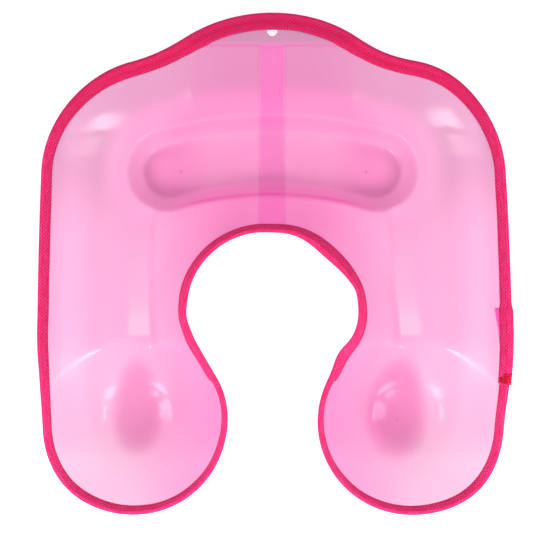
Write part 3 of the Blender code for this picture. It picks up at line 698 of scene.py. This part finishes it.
def woven_tape():
    """Hot pink polyester tape. Its twill gives rows of dark pinpricks between faint lengthwise ribs, and the dye
    took unevenly. Painted shadow darkens the fold, the cut edge and the shallow furrow that the seam draws into
    it, the tape is darker towards the back, and painted shade darkens a band down it on the tab."""
    finish, tree = new_material("woven polyester binding tape")
    from_fold, darker_and_shade_band = (
        add(tree, "Attribute", attribute_name=name)["Fac"] for name in ("from_fold", "darker_and_shade_band")
    )
    place = add(tree, "TexCoord")["Object"]
    mottle = add(tree, "TexNoise", {"Vector": place, "Scale": MOTTLE_SCALE, "Detail": 4.0})["Fac"]
    hidden = add(tree, "MapRange", {
        "Value": from_fold, "From Min": TAPE_MM, "From Max": TAPE_MM + UNDER_END_EDGE,
    })["Result"]
    uv = add(tree, "UVMap", uv_map="cloth")["UV"]
    in_mm = add(tree, "VectorMath", {0: uv, "Scale": 1000.0}, operation="SCALE")["Vector"]
    along, across, _ = add(tree, "SeparateXYZ", {0: in_mm})
    waves = add(tree, "Math", {
        0: wave(tree, along, 2 * WEAVE_PITCH), 1: wave(tree, across, 2 * WEAVE_PITCH),
    }, operation="MULTIPLY")[0]
    even = add(tree, "MapRange", {
        "Value": waves, "From Max": PRICK_WIDTH, "To Max": PRICK_DEPTH,
    }, interpolation_type="SMOOTHSTEP")["Result"]
    drawn_in = add(tree, "MapRange", {
        "Value": mottle, "From Min": MOTTLE_SPREAD[0], "From Max": MOTTLE_SPREAD[1],
        "To Min": DRAWN_IN[0], "To Max": DRAWN_IN[1],
    })["Result"]
    uneven_pricks = add(tree, "Math", {0: even, 1: drawn_in}, operation="MULTIPLY")[0]
    pricks = add(tree, "Math", {0: uneven_pricks, 1: hidden}, operation="SUBTRACT")[0]
    grain = add(tree, "VectorMath", {0: in_mm, 1: GRAIN}, operation="MULTIPLY")["Vector"]
    streak = add(tree, "TexNoise", {"Vector": grain, "Scale": 1.0, "Detail": 3.0})["Fac"]
    uneven = add(tree, "Math", {0: streak, 1: mottle}, operation="ADD")[0]
    dye = add(tree, "MapRange", {
        "Value": uneven, "From Min": DYE_SPREAD[0], "From Max": DYE_SPREAD[1],
    })["Result"]
    colour = linear(DYE_DEEP)
    # the tape is darker towards the back, and painted shade darkens a band down it on the tab
    for share, other in ((dye, DYE_PALE), (darker_and_shade_band, DARKER_TAPE), (hidden, UNFADED_TAPE)):
        colour = add(tree, "Mix", {
            "Factor": share, "A": colour, "B": linear(other),
        }, data_type="RGBA")["Result"]
    full, gone, dark = FOLD_SHADOW
    fold = add(tree, "MapRange", {
        "Value": from_fold, "From Min": full, "From Max": gone, "To Min": dark, "To Max": 0.0,
    })["Result"]
    off_seam = add(tree, "Math", {0: from_fold, 1: SEAM_FROM_EDGE * 1000}, operation="SUBTRACT")[0]
    beside = add(tree, "Math", {0: off_seam}, operation="ABSOLUTE")[0]
    full, gone, dark = FURROW_SHADOW
    furrow = add(tree, "MapRange", {
        "Value": beside, "From Min": full, "From Max": gone, "To Min": dark, "To Max": 0.0,
    }, interpolation_type="SMOOTHSTEP")["Result"]
    begins, full, dark = EDGE_SHADOW
    edge = add(tree, "MapRange", {
        "Value": from_fold, "From Min": TAPE_MM - begins, "From Max": TAPE_MM - full, "To Max": dark,
    })["Result"]
    rim = add(tree, "Math", {0: edge, 1: hidden}, operation="SUBTRACT")[0]
    # the pinpricks, and painted shadow at the fold, the seam's furrow and the cut edge
    darkness = pricks
    for line in (fold, furrow, rim):
        darkness = add(tree, "Math", {0: darkness, 1: line}, operation="MAXIMUM")[0]
    shaded = add(tree, "Mix", {
        "Factor": darkness, "A": colour, "B": linear(PRICKS_AND_TAPE_SHADOW),
    }, data_type="RGBA")["Result"]
    ribs = add(tree, "Math", {
        0: wave(tree, across, RIB_PITCH), 1: RIB_HEIGHT,
    }, operation="MULTIPLY")[0]
    sunk = add(tree, "Math", {0: ribs, 1: darkness}, operation="SUBTRACT")[0]
    bump = add(tree, "Bump", {
        "Height": sunk, "Strength": CLOTH_RELIEF, "Distance": CLOTH_DEPTH,
    })["Normal"]
    solid = add(tree, "BsdfPrincipled", {
        "Base Color": shaded, "Roughness": POLYESTER_ROUGHNESS, "Sheen Weight": CLOTH_SHEEN,
        "Specular IOR Level": POLYESTER_SPECULAR, "Normal": bump,
    })[0]
    add(tree, "OutputMaterial", {"Surface": solid})
    return finish


def spun_thread(name, hex_colour, shaded_colour):
    """Spun polyester thread: matt, with its twist showing as fine slanting dark lines."""
    finish, tree = new_material(name)
    place = add(tree, "TexCoord")["Object"]
    twist = add(tree, "TexWave", {
        "Vector": place, "Scale": TWIST_SCALE, "Distortion": 4.0, "Detail": 1.0,
    }, bands_direction="DIAGONAL")["Fac"]
    colour = add(tree, "Mix", {
        "Factor": twist, "A": linear(shaded_colour), "B": linear(hex_colour),
    }, data_type="RGBA")["Result"]
    solid = add(tree, "BsdfPrincipled", {
        "Base Color": colour, "Roughness": THREAD_ROUGHNESS, "Specular IOR Level": POLYESTER_SPECULAR,
    })[0]
    add(tree, "OutputMaterial", {"Surface": solid})
    return finish


# Tables of tone: how much, then what limits it. A limit is a measure in plan (out from the middle, back from
# the neck's centre, off the trough's floor or off its corner), how it limits, and its two places: nothing and
# full for a fade, middle and width for a hump
BEHIND_TROUGH = (("back", fade, 0.112, 0.124), ("out", fade, 0.120, 0.085))
# Where a painted highlight lies along each gutter: the soft reflection of the room on its outer slope
GUTTER_HIGHLIGHT = (
    ("out", fade, 0.0890, 0.0902),
    ("out", fade, 0.1085, 0.1005),
    ("back", fade, GROOVE_FRONT, GROOVE_FRONT + 0.006),
    ("back", fade, 0.066, -0.004),
)
TROUGH_FLOOR = ("off_trough", fade, 0.004, -0.002)
END_WALL = (("off_trough", hump, 0.012, 0.009), ("out", fade, 0.030, 0.060))
# Depths of tint: the film's own, with painted shade and a painted highlight among them
TINTS_AND_PAINTED_LIGHT = (
    (0.53, ("out", fade, 0.122, 0.022)),  # thicker film towards the middle of the tray
    (-0.16, ("off_trough", hump, 0.006, 0.013), ("out", fade, 0.075, 0.040), *BEHIND_TROUGH),  # back wall
    (0.13, ("off_trough", hump, 0.0215, 0.010), *BEHIND_TROUGH),  # thick band over the back wall
    (-0.06, ("back", fade, 0.150, 0.170), ("out", fade, 0.110, 0.060)),  # flat between that and the tab
    (0.45, ("back", hump, FOLD_LINE - 0.0010, 0.0009)),  # sharp fold at the tab's foot
    (-0.20, ("back", fade, FOLD_LINE, FOLD_LINE + 0.001)),  # tab
    # wall between trough and neck
    (0.12, ("back", fade, 0.084, 0.078), ("back", fade, 0.040, 0.070), ("out", fade, 0.062, 0.022)),
    # painted highlight: a paler band along each gutter, palest at its end by the bowl, standing for the soft
    # reflection on it
    (-0.16, *GUTTER_HIGHLIGHT),  # paler band along each gutter
    (-0.30, *GUTTER_HIGHLIGHT, ("back", hump, GROOVE_FRONT + 0.005, 0.013)),  # its palest end
    (0.13, ("back", fade, -0.045, -0.015), ("out", fade, 0.075, 0.105)),  # outer walls of the arms
    (-0.18, TROUGH_FLOOR),
    # painted contact shade: deeper tint at the ends of the trough's floor, which lie on the table
    (0.396, TROUGH_FLOOR, ("out", fade, 0.036, 0.076)),  # ends of the trough's floor
    (0.10, *END_WALL),
    (-0.08, *END_WALL, ("out", fade, 0.072, 0.092)),
    # painted shade: deeper tint at the corners where the trough's ends meet its front wall
    (0.10, ("off_corner", hump, 0, 0.012)),
    (-0.12, ("back", fade, -0.085, -0.115)),  # fronts of the bowls
)
SHADES = (
    (0.120, ("off_trough", fade, 0.019, 0.037), ("back", fade, 0.045, 0.125)),  # under the back edge
    (0.062, ("back", fade, FOLD_LINE, FOLD_LINE + 0.001)),  # tab
)
STRIP_SHADE_FADE = 0.001
STRIP_SHADE_FROM, STRIP_SHADE_FULL = 0.120, 0.150
STRIP_RELIEF, STRIP_RELIEF_LOST = 0.85, 0.40  # how much less shade the strip shows, less so at the back


def toned(table, plan):
    """Sum of a table of tones at each plan point."""
    mirrored = np.abs(plan.real) + 1j * plan.imag
    measures = {
        "out": mirrored.real,
        "back": mirrored.imag,
        "off_trough": away_from_trough_line(mirrored) - TROUGH_FLOOR_HALF_WIDTH,
        "off_corner": np.abs(mirrored - TROUGH_CORNER),
    }
    return sum(
        amount * math.prod(shape(measures[measure], *places) for measure, shape, *places in limits)
        for amount, *limits in table
    )


def depth_with_painted_light(plan):
    """How deep the tint is: the film was drawn thin in the arms and stays thicker across the back. Painted shade
    deepens it at the feet of the bowls, which lie on the table, and round the foot of the trough's wall, and a
    painted highlight makes it paler along each gutter."""
    depth = ARM_DEPTH + toned(TINTS_AND_PAINTED_LIGHT, plan) + CORNER_SHADE_TINT * trough_corner(plan)
    # painted contact shade deepens the tint at the feet of the bowls
    for centre, half_width, half_length, more in FOOT_CONTACT_SHADE:
        depth += more * foot_share(plan - centre, half_width, half_length)
    return depth


def foot_share(offset, half_width, half_length):
    """How well a place lies inside an egg that is narrower at its back end."""
    back = offset.imag / half_length
    wide = offset.real / (half_width * (1 - FOOT_NARROWING * np.clip(back, -1, 1)))
    return eased((FOOT_LIMIT - wide**2 - back**2) / FOOT_SOFTNESS)


def trough_corner(plan):
    """How deep a place lies in the half shade at the foot of the trough's wall, at its ends and its front."""
    out = np.abs(plan.real)
    off_line = away_from_trough_line(out + 1j * plan.imag) / TROUGH_FLOOR_HALF_WIDTH
    ring = hump(off_line, CORNER_RING, CORNER_RING_WIDTH) * fade(off_line, CORNER_RING_END, CORNER_RING)
    end = fade(out, CORNER_FROM, CORNER_FULL)
    furthest = TROUGH_REACH + CORNER_BACK + CORNER_BACK_AT_END * end
    ahead = fade(plan.imag, furthest, furthest - CORNER_FADE)
    return ring * ahead * (CORNER_FRONT_SHARE + CORNER_END_SHARE * end)


def half_shade(plan):
    """How much of the light the walls and the tape keep from the sheet: most by the back edge."""
    shade = toned(SHADES, plan) + CORNER_SHADE * trough_corner(plan)
    # painted contact shade darkens the feet of the bowls
    for centre, half_width, half_length, _ in FOOT_CONTACT_SHADE:
        shade += FOOT_SHADE * foot_share(plan - centre, half_width, half_length)
    half = STRIP_WIDTH / 2
    under_strip = fade(np.abs(plan.real), half + STRIP_SHADE_FADE, half - STRIP_SHADE_FADE)
    relief = STRIP_RELIEF - STRIP_RELIEF_LOST * fade(plan.imag, STRIP_SHADE_FROM, STRIP_SHADE_FULL)
    return shade * (1 - under_strip * (plan.imag < FOLD_LINE) * relief)


def hole_centre():
    """Centre of the hanging hole, just below the tape at the middle of the tab."""
    plan = TAB_REACH - np.linspace(0, TAPE_WIDTH, WALL_SAMPLES)
    return 1j * (np.interp(TAPE_WIDTH, lengths_along(lifted(1j * plan)), plan) - HOLE_BELOW_TAPE)


HOLE_CENTRE = hole_centre()


def sheet_plan():
    """Plan points and triangles of the whole sheet, to a fine even mesh with the hanging hole in it."""
    border = EDGE_POINTS
    ring = HOLE_CENTRE + HOLE_RADIUS * np.exp(2j * math.pi * np.arange(HOLE_SIDES) / HOLE_SIDES)
    rows = np.arange(LOBE_CENTRE.imag - LOBE_RADIUS, TAB_REACH, SHEET_STEP * math.sqrt(3) / 2)
    columns = np.arange(-HALF_WIDTH - HIP_BULGE, HALF_WIDTH + HIP_BULGE, SHEET_STEP)
    shifts = np.arange(len(rows)) % 2 * SHEET_STEP / 2
    grid = (columns[None, :] + 1j * rows[:, None] + shifts[:, None]).ravel()
    grid = grid[away_from(np.append(border, border[0]), grid) > SHEET_STEP * CLEAR_OF_EDGE]
    grid = grid[inside(grid, border)]
    grid = grid[np.abs(grid - HOLE_CENTRE) > HOLE_RADIUS + SHEET_STEP * CLEAR_OF_HOLE]
    points = np.concatenate([border, ring, grid])
    flat = [(point.real, point.imag) for point in points]
    first = len(border)
    edges = [(first + k, first + (k + 1) % HOLE_SIDES) for k in range(HOLE_SIDES)]
    made = delaunay_2d_cdt(flat, edges, [list(range(first))], 1, SHEET_THICKNESS / 1000)
    plan = np.array([complex(*point) for point in made[0]])
    faces = np.array(made[2])
    middles = plan[faces].mean(axis=1)
    return plan, faces[np.abs(middles - HOLE_CENTRE) > HOLE_RADIUS * WELL_IN_HOLE]


def inside(points, border):
    """Whether plan points lie within a closed border."""
    hits = np.zeros(len(points), int)
    for a, b in zip(border, np.roll(border, -1)):
        crosses = (a.imag > points.imag) != (b.imag > points.imag)
        if crosses.any():
            at = a.real + (points.imag - a.imag) * (b.real - a.real) / (b.imag - a.imag)
            hits += crosses & (points.real < at)
    return hits % 2 == 1


def make_sheet(finish):
    plan, triangles = sheet_plan()
    sheet = mesh_piece("formed_sheet", lifted(plan), triangles, finish)
    # the tint's depth, with painted shade at the feet and round the trough's floor and a painted highlight along
    # the gutters in it
    give_attribute(sheet, "film", depth_share(depth_with_painted_light(plan)))
    give_attribute(sheet, "shade", half_shade(plan))
    give_attribute(sheet, "polish", sum(hump(np.abs(plan - at), 0, reach) for at, reach in POLISHED))
    thicken(sheet, "sheet thickness", SHEET_THICKNESS, 0)
    stand_for(sheet, "tray_shell")


def make_pips(finish):
    """The little domes that the mould's vent holes left on the floors of the trough and a bowl."""
    points, faces = [], []
    for centre in PIPS:
        first = len(points)
        top = lifted([centre])[0] + np.array([0, 0, SHEET_THICKNESS / 2])
        points.append(top + np.array([0, 0, PIP_RADIUS * PIP_TOP]))
        for height, share in PIP_RINGS:
            for k in range(TUBE_SIDES * 2):
                way = cmath.exp(1j * math.pi * k / TUBE_SIDES) * PIP_RADIUS * share
                points.append(top + np.array([way.real, way.imag, PIP_RADIUS * height]))
        wide = TUBE_SIDES * 2
        for k in range(wide):
            after = (k + 1) % wide
            faces.append((first, first + 1 + k, first + 1 + after))
            faces.append((first + 1 + k, first + 1 + wide + k, first + 1 + wide + after, first + 1 + after))
        faces.append(tuple(first + 1 + wide + k for k in reversed(range(wide))))
    pips = mesh_piece("mould_pips", points, faces, finish)
    give_attribute(pips, "film", np.full(len(points), depth_share(PIP_DEPTH)))
    give_attribute(pips, "shade", np.zeros(len(points)))
    give_attribute(pips, "polish", np.ones(len(points)))
    stand_for(pips, "tray_shell")


def make_strip(finish):
    """The second layer of film down the middle of the back, with its welded margins."""
    line = lifted(1j * (NECK_RADIUS + np.linspace(0, TAPE_WIDTH, WALL_SAMPLES)))
    first = np.interp(TAPE_WIDTH, lengths_along(line), line[:, 1]) + STRIP_FROM_TAPE
    last = min(FOLD_LINE - STRIP_BELOW_FOLD, HOLE_CENTRE.imag - HOLE_RADIUS)
    rows = np.linspace(first, last, math.ceil((last - first) / STRIP_STEP) + 1)
    half = STRIP_WIDTH / 2
    margin = half + WELD_LINE_WIDTH * np.array(WELD_COLUMNS)
    outward = np.concatenate([half * np.array(STRIP_COLUMNS), margin])
    columns = np.concatenate([-outward[:0:-1], outward])
    plan = (columns[None, :] + 1j * rows[:, None]).ravel()
    rise = SHEET_THICKNESS / 2 + SEAT_GAP + STRIP_THICKNESS / 2
    wide = len(columns)
    faces = [
        (wide * r + c, wide * r + c + 1, wide * (r + 1) + c + 1, wide * (r + 1) + c)
        for r in range(len(rows) - 1)
        for c in range(wide - 1)
    ]
    points = lifted(plan) + upward_normals(plan) * rise
    strip = mesh_piece("second_film_layer", points, faces, finish)
    give_attribute(strip, "weld", np.abs(plan.real) > half)
    thicken(strip, "film thickness", STRIP_THICKNESS, 0)
    stand_for(strip, "centre_strip")


def walls_in(points, inwards, widths):
    """The sheet's stretch under the tape, from each point of the edge inward: points and upward normals at
    even lengths along the sheet."""
    shares = np.linspace(0, 1, WALL_SAMPLES)
    steps = widths[:, None] * shares
    plan = points[:, None] + inwards[:, None] * steps
    lines = lifted(plan).reshape(len(points), WALL_SAMPLES, 3)
    spots = np.empty((len(points), ACROSS_TAPE, 3))
    ways = np.empty_like(spots)
    for k, line in enumerate(lines):
        along = lengths_along(line)
        slopes = np.gradient(line, steps[k], axis=0)
        lengths = np.linspace(0, widths[k], ACROSS_TAPE)
        for axis in range(3):
            spots[k, :, axis] = np.interp(lengths, along, line[:, axis])
            ways[k, :, axis] = np.interp(lengths, along, slopes[:, axis])
    ways = normalised(ways)
    headings = 1j * inwards
    across = np.column_stack([headings.real, headings.imag, np.zeros(len(points))])
    normals = normalised(np.cross(ways, across[:, None]))
    return spots, normals, ways


def tape_rings():
    """The tape's course: number of the edge point under each of its rings, and how far each ring is lifted
    by the lap. The tape runs once round the edge and laps over its own first stretch."""
    start, total = int(np.abs(OUTER_RUN.imag + LAP_START_DROP).argmin()), len(EDGE_POINTS)
    lap = math.ceil(LAP_LENGTH / EDGE_STEP)
    numbers = np.array([(start + k) % total for k in range(total + lap + 1)])
    lapping = fade(np.arange(len(numbers)), total - LAP_RISE_RINGS + 1, total + 1)
    lift = (SEAT_GAP + TAPE_THICKNESS) * lapping
    return numbers, lift, lap


def tape_sections(numbers, lift, widths):
    """Sections of the folded tape over points of the edge: from its upper inner edge, round the fold, to its
    lower inner edge."""
    spots, normals, ways = walls_in(EDGE_POINTS[numbers], EDGE_INWARDS[numbers], widths)
    reach = (SEAT_GAP + TAPE_THICKNESS + lift)[:, None, None]
    rise = SHEET_THICKNESS / 2 + reach
    turns = np.linspace(math.pi / 2, -math.pi / 2, FOLD_POINTS + 2)[1:-1]
    fold = (
        spots[:, :1]
        - ways[:, :1] * reach * np.cos(turns)[None, :, None]
        + normals[:, :1] * rise * np.sin(turns)[None, :, None]
    )
    return np.concatenate([(spots + normals * rise)[:, ::-1], fold, spots - normals * rise], axis=1)


def make_tape(finish):
    """One run of folded tape right round the edge. Its width wanders a little, as cloth does."""
    numbers, lift, _ = tape_rings()
    points = EDGE_POINTS[numbers]
    run = np.concatenate([[0], np.cumsum(np.abs(np.diff(points)))])
    wander = sum(np.sin(run / length + start) * size for length, start, size in WANDER)
    widths = TAPE_WIDTH + wander + PEEK_WIDTH * np.clip(1 - run / PEEK_LENGTH, 0, 1)
    rings = tape_sections(numbers, lift, widths)
    size = rings.shape[1]
    faces = [
        (a, a + size, a + 1 + size, a + 1)
        for k in range(len(numbers) - 1)
        for a in range(k * size, (k + 1) * size - 1)
    ]
    tape = mesh_piece("folded_binding_tape", rings.reshape(-1, 3), faces, finish)
    cloth = np.empty((len(numbers), size, 2))
    cloth[:, :, 0] = run[:, None]
    cloth[:, 1:, 1] = np.cumsum(np.linalg.norm(np.diff(rings * (1, 1, STRETCH), axis=1), axis=2), axis=1)
    cloth[:, 0, 1] = 0
    give_cloth_map(tape, cloth.reshape(-1, 2))
    shares = np.linspace(0, 1, ACROSS_TAPE)
    inward = np.concatenate([shares[::-1], np.zeros(FOLD_POINTS), shares])
    give_attribute(tape, "from_fold", (inward * widths[:, None] * 1000).ravel())
    outer, neck = (
        sum(more * fade(points.imag, *places) for more, *places in table) for table in (OUTER_DARKENING, NECK_DARKENING)
    )
    darkening = np.where(EDGE_DISCS[numbers] == NECK_DISC, neck, outer)
    # painted shade band down the middle of the tape on the tab
    cupped_shade = TAB_SHADE_BAND * hump(inward, TAB_SHADE_BAND_AT, TAB_SHADE_BAND_WIDTH)
    on_tab = fade(points.imag - FOLD_LINE, TAB_SHADE_BAND_FROM, TAB_SHADE_BAND_FULL)
    give_attribute(tape, "darker_and_shade_band", (darkening[:, None] + on_tab[:, None] * cupped_shade[None, :]).ravel())
    thicken(tape, "tape thickness", TAPE_THICKNESS, -1)
    stand_for(tape, "binding_tape")


def give_cloth_map(piece, places):
    """A map of the cloth in metres: along it, and in from its fold."""
    layer = piece.data.uv_layers.new(name="cloth")
    corners = np.empty(len(piece.data.loops), np.int32)
    piece.data.loops.foreach_get("vertex_index", corners)
    layer.data.foreach_set("uv", places[corners].astype(np.float32).ravel())


def seam_line(length, side):
    """The seam's course on the outermost face of the tape, one point for every ring of one full round, with
    the normals of the face. It starts where the upper end of the tape lies."""
    numbers, lift, lap = tape_rings()
    numbers, lift = numbers[lap:], lift[lap:]
    spots, normals, _ = walls_in(EDGE_POINTS[numbers], EDGE_INWARDS[numbers], np.full(len(numbers), length))
    rise = SHEET_THICKNESS / 2 + SEAT_GAP + TAPE_THICKNESS + lift
    return spots[:, -1] + side * normals[:, -1] * rise[:, None], side * normals[:, -1]


def make_stitches(name, side, node, finish, tree):
    """A row of stitches round the seam. The tree sets one on each of the points made here."""
    line, normals = seam_line(SEAM_FROM_EDGE, side)
    run = lengths_along(line)
    marks = np.linspace(0, run[-1], round(run[-1] / STITCH_PITCH), endpoint=False)
    places = np.column_stack([np.interp(marks, run, line[:, k]) for k in range(3)])
    ups = np.column_stack([np.interp(marks, run, normals[:, k]) for k in range(3)])
    alongs = np.roll(places, -1, axis=0) - np.roll(places, 1, axis=0)
    row = mesh_piece(name, places, [], finish)
    for label, vectors in (("stitch_way", normalised(alongs)), ("stitch_up", normalised(ups))):
        attribute = row.data.attributes.new(label, "FLOAT_VECTOR", "POINT")
        attribute.data.foreach_set("vector", vectors.astype(np.float32).ravel())
    sewing = row.modifiers.new("stitches", "NODES")
    sewing.node_group = tree
    values = {"Length": STITCH_LENGTH, "Rise": STITCH_RISE, "Thread radius": THREAD_RADIUS, "Thread": finish}
    for item in tree.interface.items_tree:
        if item.name in values:
            sewing[item.identifier] = values[item.name]
    settle_mesh(row)
    stand_for(row, node)


def settle_mesh(piece):
    """Turns what the modifiers give into the piece's own plain mesh."""
    graph = bpy.context.evaluated_depsgraph_get()
    made = bpy.data.meshes.new_from_object(piece.evaluated_get(graph))
    piece.modifiers.clear()
    piece.data = made
    made.shade_smooth()


def stitch_tree():
    """Geometry nodes that set a stitch, a short bowed thread, on each point of a seam."""
    tree = bpy.data.node_groups.new("stitches on a seam", "GeometryNodeTree")
    for name, way, kind in (
        ("Geometry", "INPUT", "Geometry"),
        ("Length", "INPUT", "Float"),
        ("Rise", "INPUT", "Float"),
        ("Thread radius", "INPUT", "Float"),
        ("Thread", "INPUT", "Material"),
        ("Geometry", "OUTPUT", "Geometry"),
    ):
        tree.interface.new_socket(name, in_out=way, socket_type="NodeSocket" + kind)
    given = add(tree, "NodeGroupInput")
    half = add(tree, "Math", {0: given["Length"], 1: 0.5}, operation="MULTIPLY")[0]
    back = add(tree, "Math", {0: given["Length"], 1: -0.5}, operation="MULTIPLY")[0]
    sink = add(tree, "Math", {0: given["Thread radius"], 1: -1.0}, operation="MULTIPLY")[0]
    arc = add(tree, "GeometryNodeCurveQuadraticBezier", {
        "Resolution": 5,
        "Start": add(tree, "CombineXYZ", {"X": back, "Z": sink})[0],
        "Middle": add(tree, "CombineXYZ", {"Z": given["Rise"]})[0],
        "End": add(tree, "CombineXYZ", {"X": half, "Z": sink})[0],
    })
    round_section = add(tree, "GeometryNodeCurvePrimitiveCircle", {
        "Resolution": TUBE_SIDES, "Radius": given["Thread radius"],
    })
    thread = add(tree, "GeometryNodeCurveToMesh", {
        "Curve": arc["Curve"], "Profile Curve": round_section["Curve"], "Fill Caps": True,
    })
    way = add(tree, "GeometryNodeInputNamedAttribute", {"Name": "stitch_way"}, data_type="FLOAT_VECTOR")
    up = add(tree, "GeometryNodeInputNamedAttribute", {"Name": "stitch_up"}, data_type="FLOAT_VECTOR")
    turned = add(tree, "FunctionNodeAlignRotationToVector", {"Vector": way["Attribute"]}, axis="X")
    upright = add(tree, "FunctionNodeAlignRotationToVector", {
        "Rotation": turned["Rotation"], "Vector": up["Attribute"],
    }, axis="Z", pivot_axis="X")
    placed = add(tree, "GeometryNodeInstanceOnPoints", {
        "Points": given["Geometry"], "Instance": thread["Mesh"], "Rotation": upright["Rotation"],
    })
    real = add(tree, "GeometryNodeRealizeInstances", {"Geometry": placed["Instances"]})
    dyed = add(tree, "GeometryNodeSetMaterial", {"Geometry": real["Geometry"], "Material": given["Thread"]})
    add(tree, "NodeGroupOutput", {"Geometry": dyed["Geometry"]})
    return tree


def tube(points, radius):
    """Points and faces of a closed thread along a line of points."""
    points = np.asarray(points)
    ways = normalised(np.gradient(points, axis=0))
    sides = normalised(np.cross(ways, NEARLY_UP))
    tops = np.cross(sides, ways)
    turns = 2 * math.pi * np.arange(TUBE_SIDES) / TUBE_SIDES
    rings = (
        points[:, None]
        + radius * np.cos(turns)[None, :, None] * sides[:, None]
        + radius * np.sin(turns)[None, :, None] * tops[:, None]
    )
    last = TUBE_SIDES * (len(points) - 1)
    faces = [tuple(range(TUBE_SIDES)), tuple(reversed(range(last, last + TUBE_SIDES)))]
    for k in range(len(points) - 1):
        for j in range(TUBE_SIDES):
            a, b = k * TUBE_SIDES + j, k * TUBE_SIDES + (j + 1) % TUBE_SIDES
            faces.append((a, a + TUBE_SIDES, b + TUBE_SIDES, b))
    return rings.reshape(-1, 3), faces


def make_bartack(finish, end_finish):
    """The red zigzag that closes the lap, to and fro over the upper end of the tape and round its fold, with
    the loose end that the machine left."""
    numbers, lift, _ = tape_rings()
    count = math.ceil(TACK_BLOCKS[0][1] / EDGE_STEP) + 2
    numbers, lift = numbers[:-count - 1:-1], lift[:-count - 1:-1]
    rings = tape_sections(numbers, lift[:1] + TACK_RADIUS + 0 * lift, np.full(count, TAPE_WIDTH))
    rings = rings[:, :ACROSS_TAPE + FOLD_POINTS]
    back = lengths_along(rings[:, 0])
    across = np.linspace(0, 1, rings.shape[1])
    marks = []
    for nearest, furthest, inner, outer in TACK_BLOCKS:
        for k in range(int((furthest - nearest) / TACK_PITCH)):
            far, step = TACK_STRAYS[k % 2]
            stray = inner + far * math.sin(step * k) if k % 2 else outer - far * math.sin(step * k) ** 2
            marks.append((nearest + k * TACK_PITCH, stray))
    marks = np.array(marks)
    steps = np.arange(0, len(marks) - 1, 1 / POINTS_PER_STITCH)
    thread = []
    for step in steps:
        at, turned = (np.interp(step, np.arange(len(marks)), marks[:, axis]) for axis in (0, 1))
        row = np.array([[np.interp(at, back, places) for places in column.T] for column in rings.swapaxes(0, 1)])
        thread.append([np.interp(turned, across, row[:, axis]) for axis in range(3)])
    tacks = mesh_piece("lap_zigzag", *tube(thread, TACK_RADIUS), finish)
    stand_for(tacks, "lap_bartack")
    loose = np.array(thread[POINTS_PER_STITCH * 2]) + np.array(LOOSE_END)
    loose_end = mesh_piece("loose_thread_end", *tube(loose, LOOSE_END_RADIUS), end_finish)
    stand_for(loose_end, "lap_bartack")


def make_floor():
    """A plain white table top, which shows as white to the camera and still takes the tray's shadow."""
    finish, tree = new_material("white table top")
    path = add(tree, "LightPath")
    seen = add(tree, "Math", {
        0: path["Is Camera Ray"], 1: path["Is Glossy Ray"],
    }, operation="MAXIMUM")
    glow = add(tree, "Math", {0: seen[0], 1: TABLE_GLOW}, operation="MULTIPLY")
    paint = add(tree, "BsdfDiffuse", {"Color": linear(TABLE_COLOUR)})
    shine = add(tree, "Emission", {"Strength": glow[0]})
    both = add(tree, "AddShader", {0: paint[0], 1: shine[0]})
    add(tree, "OutputMaterial", {"Surface": both[0]})
    mesh = bpy.data.meshes.new("table_top")
    side = TABLE_HALF_SIDE
    corners = [(-side, -side, 0), (side, -side, 0), (side, side, 0), (-side, side, 0)]
    mesh.from_pydata(corners, [], [(0, 1, 2, 3)])
    mesh.materials.append(finish)
    table_top = bpy.data.objects.new("table_top", mesh)
    table_top.location.z = -TABLE_DROP
    bpy.context.collection.objects.link(table_top)


def make_studio():
    """Soft light from both sides, which gives the film its highlights, and a plain bright room."""
    for name, (out, back, up), size, watts in SOFTBOXES:
        for side, way in (("left", -1), ("right", 1)):
            lamp = bpy.data.lights.new(f"{name}_{side}", "AREA")
            lamp.shape = "RECTANGLE"
            lamp.size, lamp.size_y = size
            lamp.energy = watts
            light = bpy.data.objects.new(f"{name}_{side}", lamp)
            light.location = (way * out, back, up)
            light.rotation_euler.y = math.atan2(way * out, up)
            bpy.context.collection.objects.link(light)
    world = bpy.data.worlds.new("white studio")
    world.use_nodes = True
    tree = world.node_tree
    tree.nodes.clear()
    path = add(tree, "LightPath")
    level = add(tree, "MapRange", {
        "Value": path["Is Camera Ray"], "To Min": WORLD_LEVEL,
    })
    sky = add(tree, "Background", {"Color": linear("FFFFFF"), "Strength": level["Result"]})
    add(tree, "OutputWorld", {"Surface": sky[0]})
    bpy.context.scene.world = world


def make_camera():
    """Straight above the tray, as in the photograph."""
    lens = bpy.data.cameras.new("camera")
    lens.angle = math.radians(CAMERA_ANGLE)
    camera = bpy.data.objects.new("camera", lens)
    camera.location = CAMERA_PLACE
    bpy.context.collection.objects.link(camera)
    bpy.context.scene.camera = camera


bpy.context.scene.view_settings.view_transform = "Standard"
make_camera()
make_studio()
make_floor()
pvc = clear_pvc()
make_sheet(pvc)
make_pips(pvc)
make_strip(welded_pvc())
make_tape(woven_tape())
pink_thread = spun_thread("pink spun polyester thread", "D42660", "98103C")
sewing = stitch_tree()
make_stitches("needle_stitches", 1, "needle_thread", pink_thread, sewing)
make_stitches("bobbin_stitches", -1, "bobbin_thread", pink_thread, sewing)
make_bartack(
    spun_thread("red spun polyester thread", "E40E34", "A8061E"),
    spun_thread("pale spun polyester thread", "F0C8CC", "D8909C"),
)
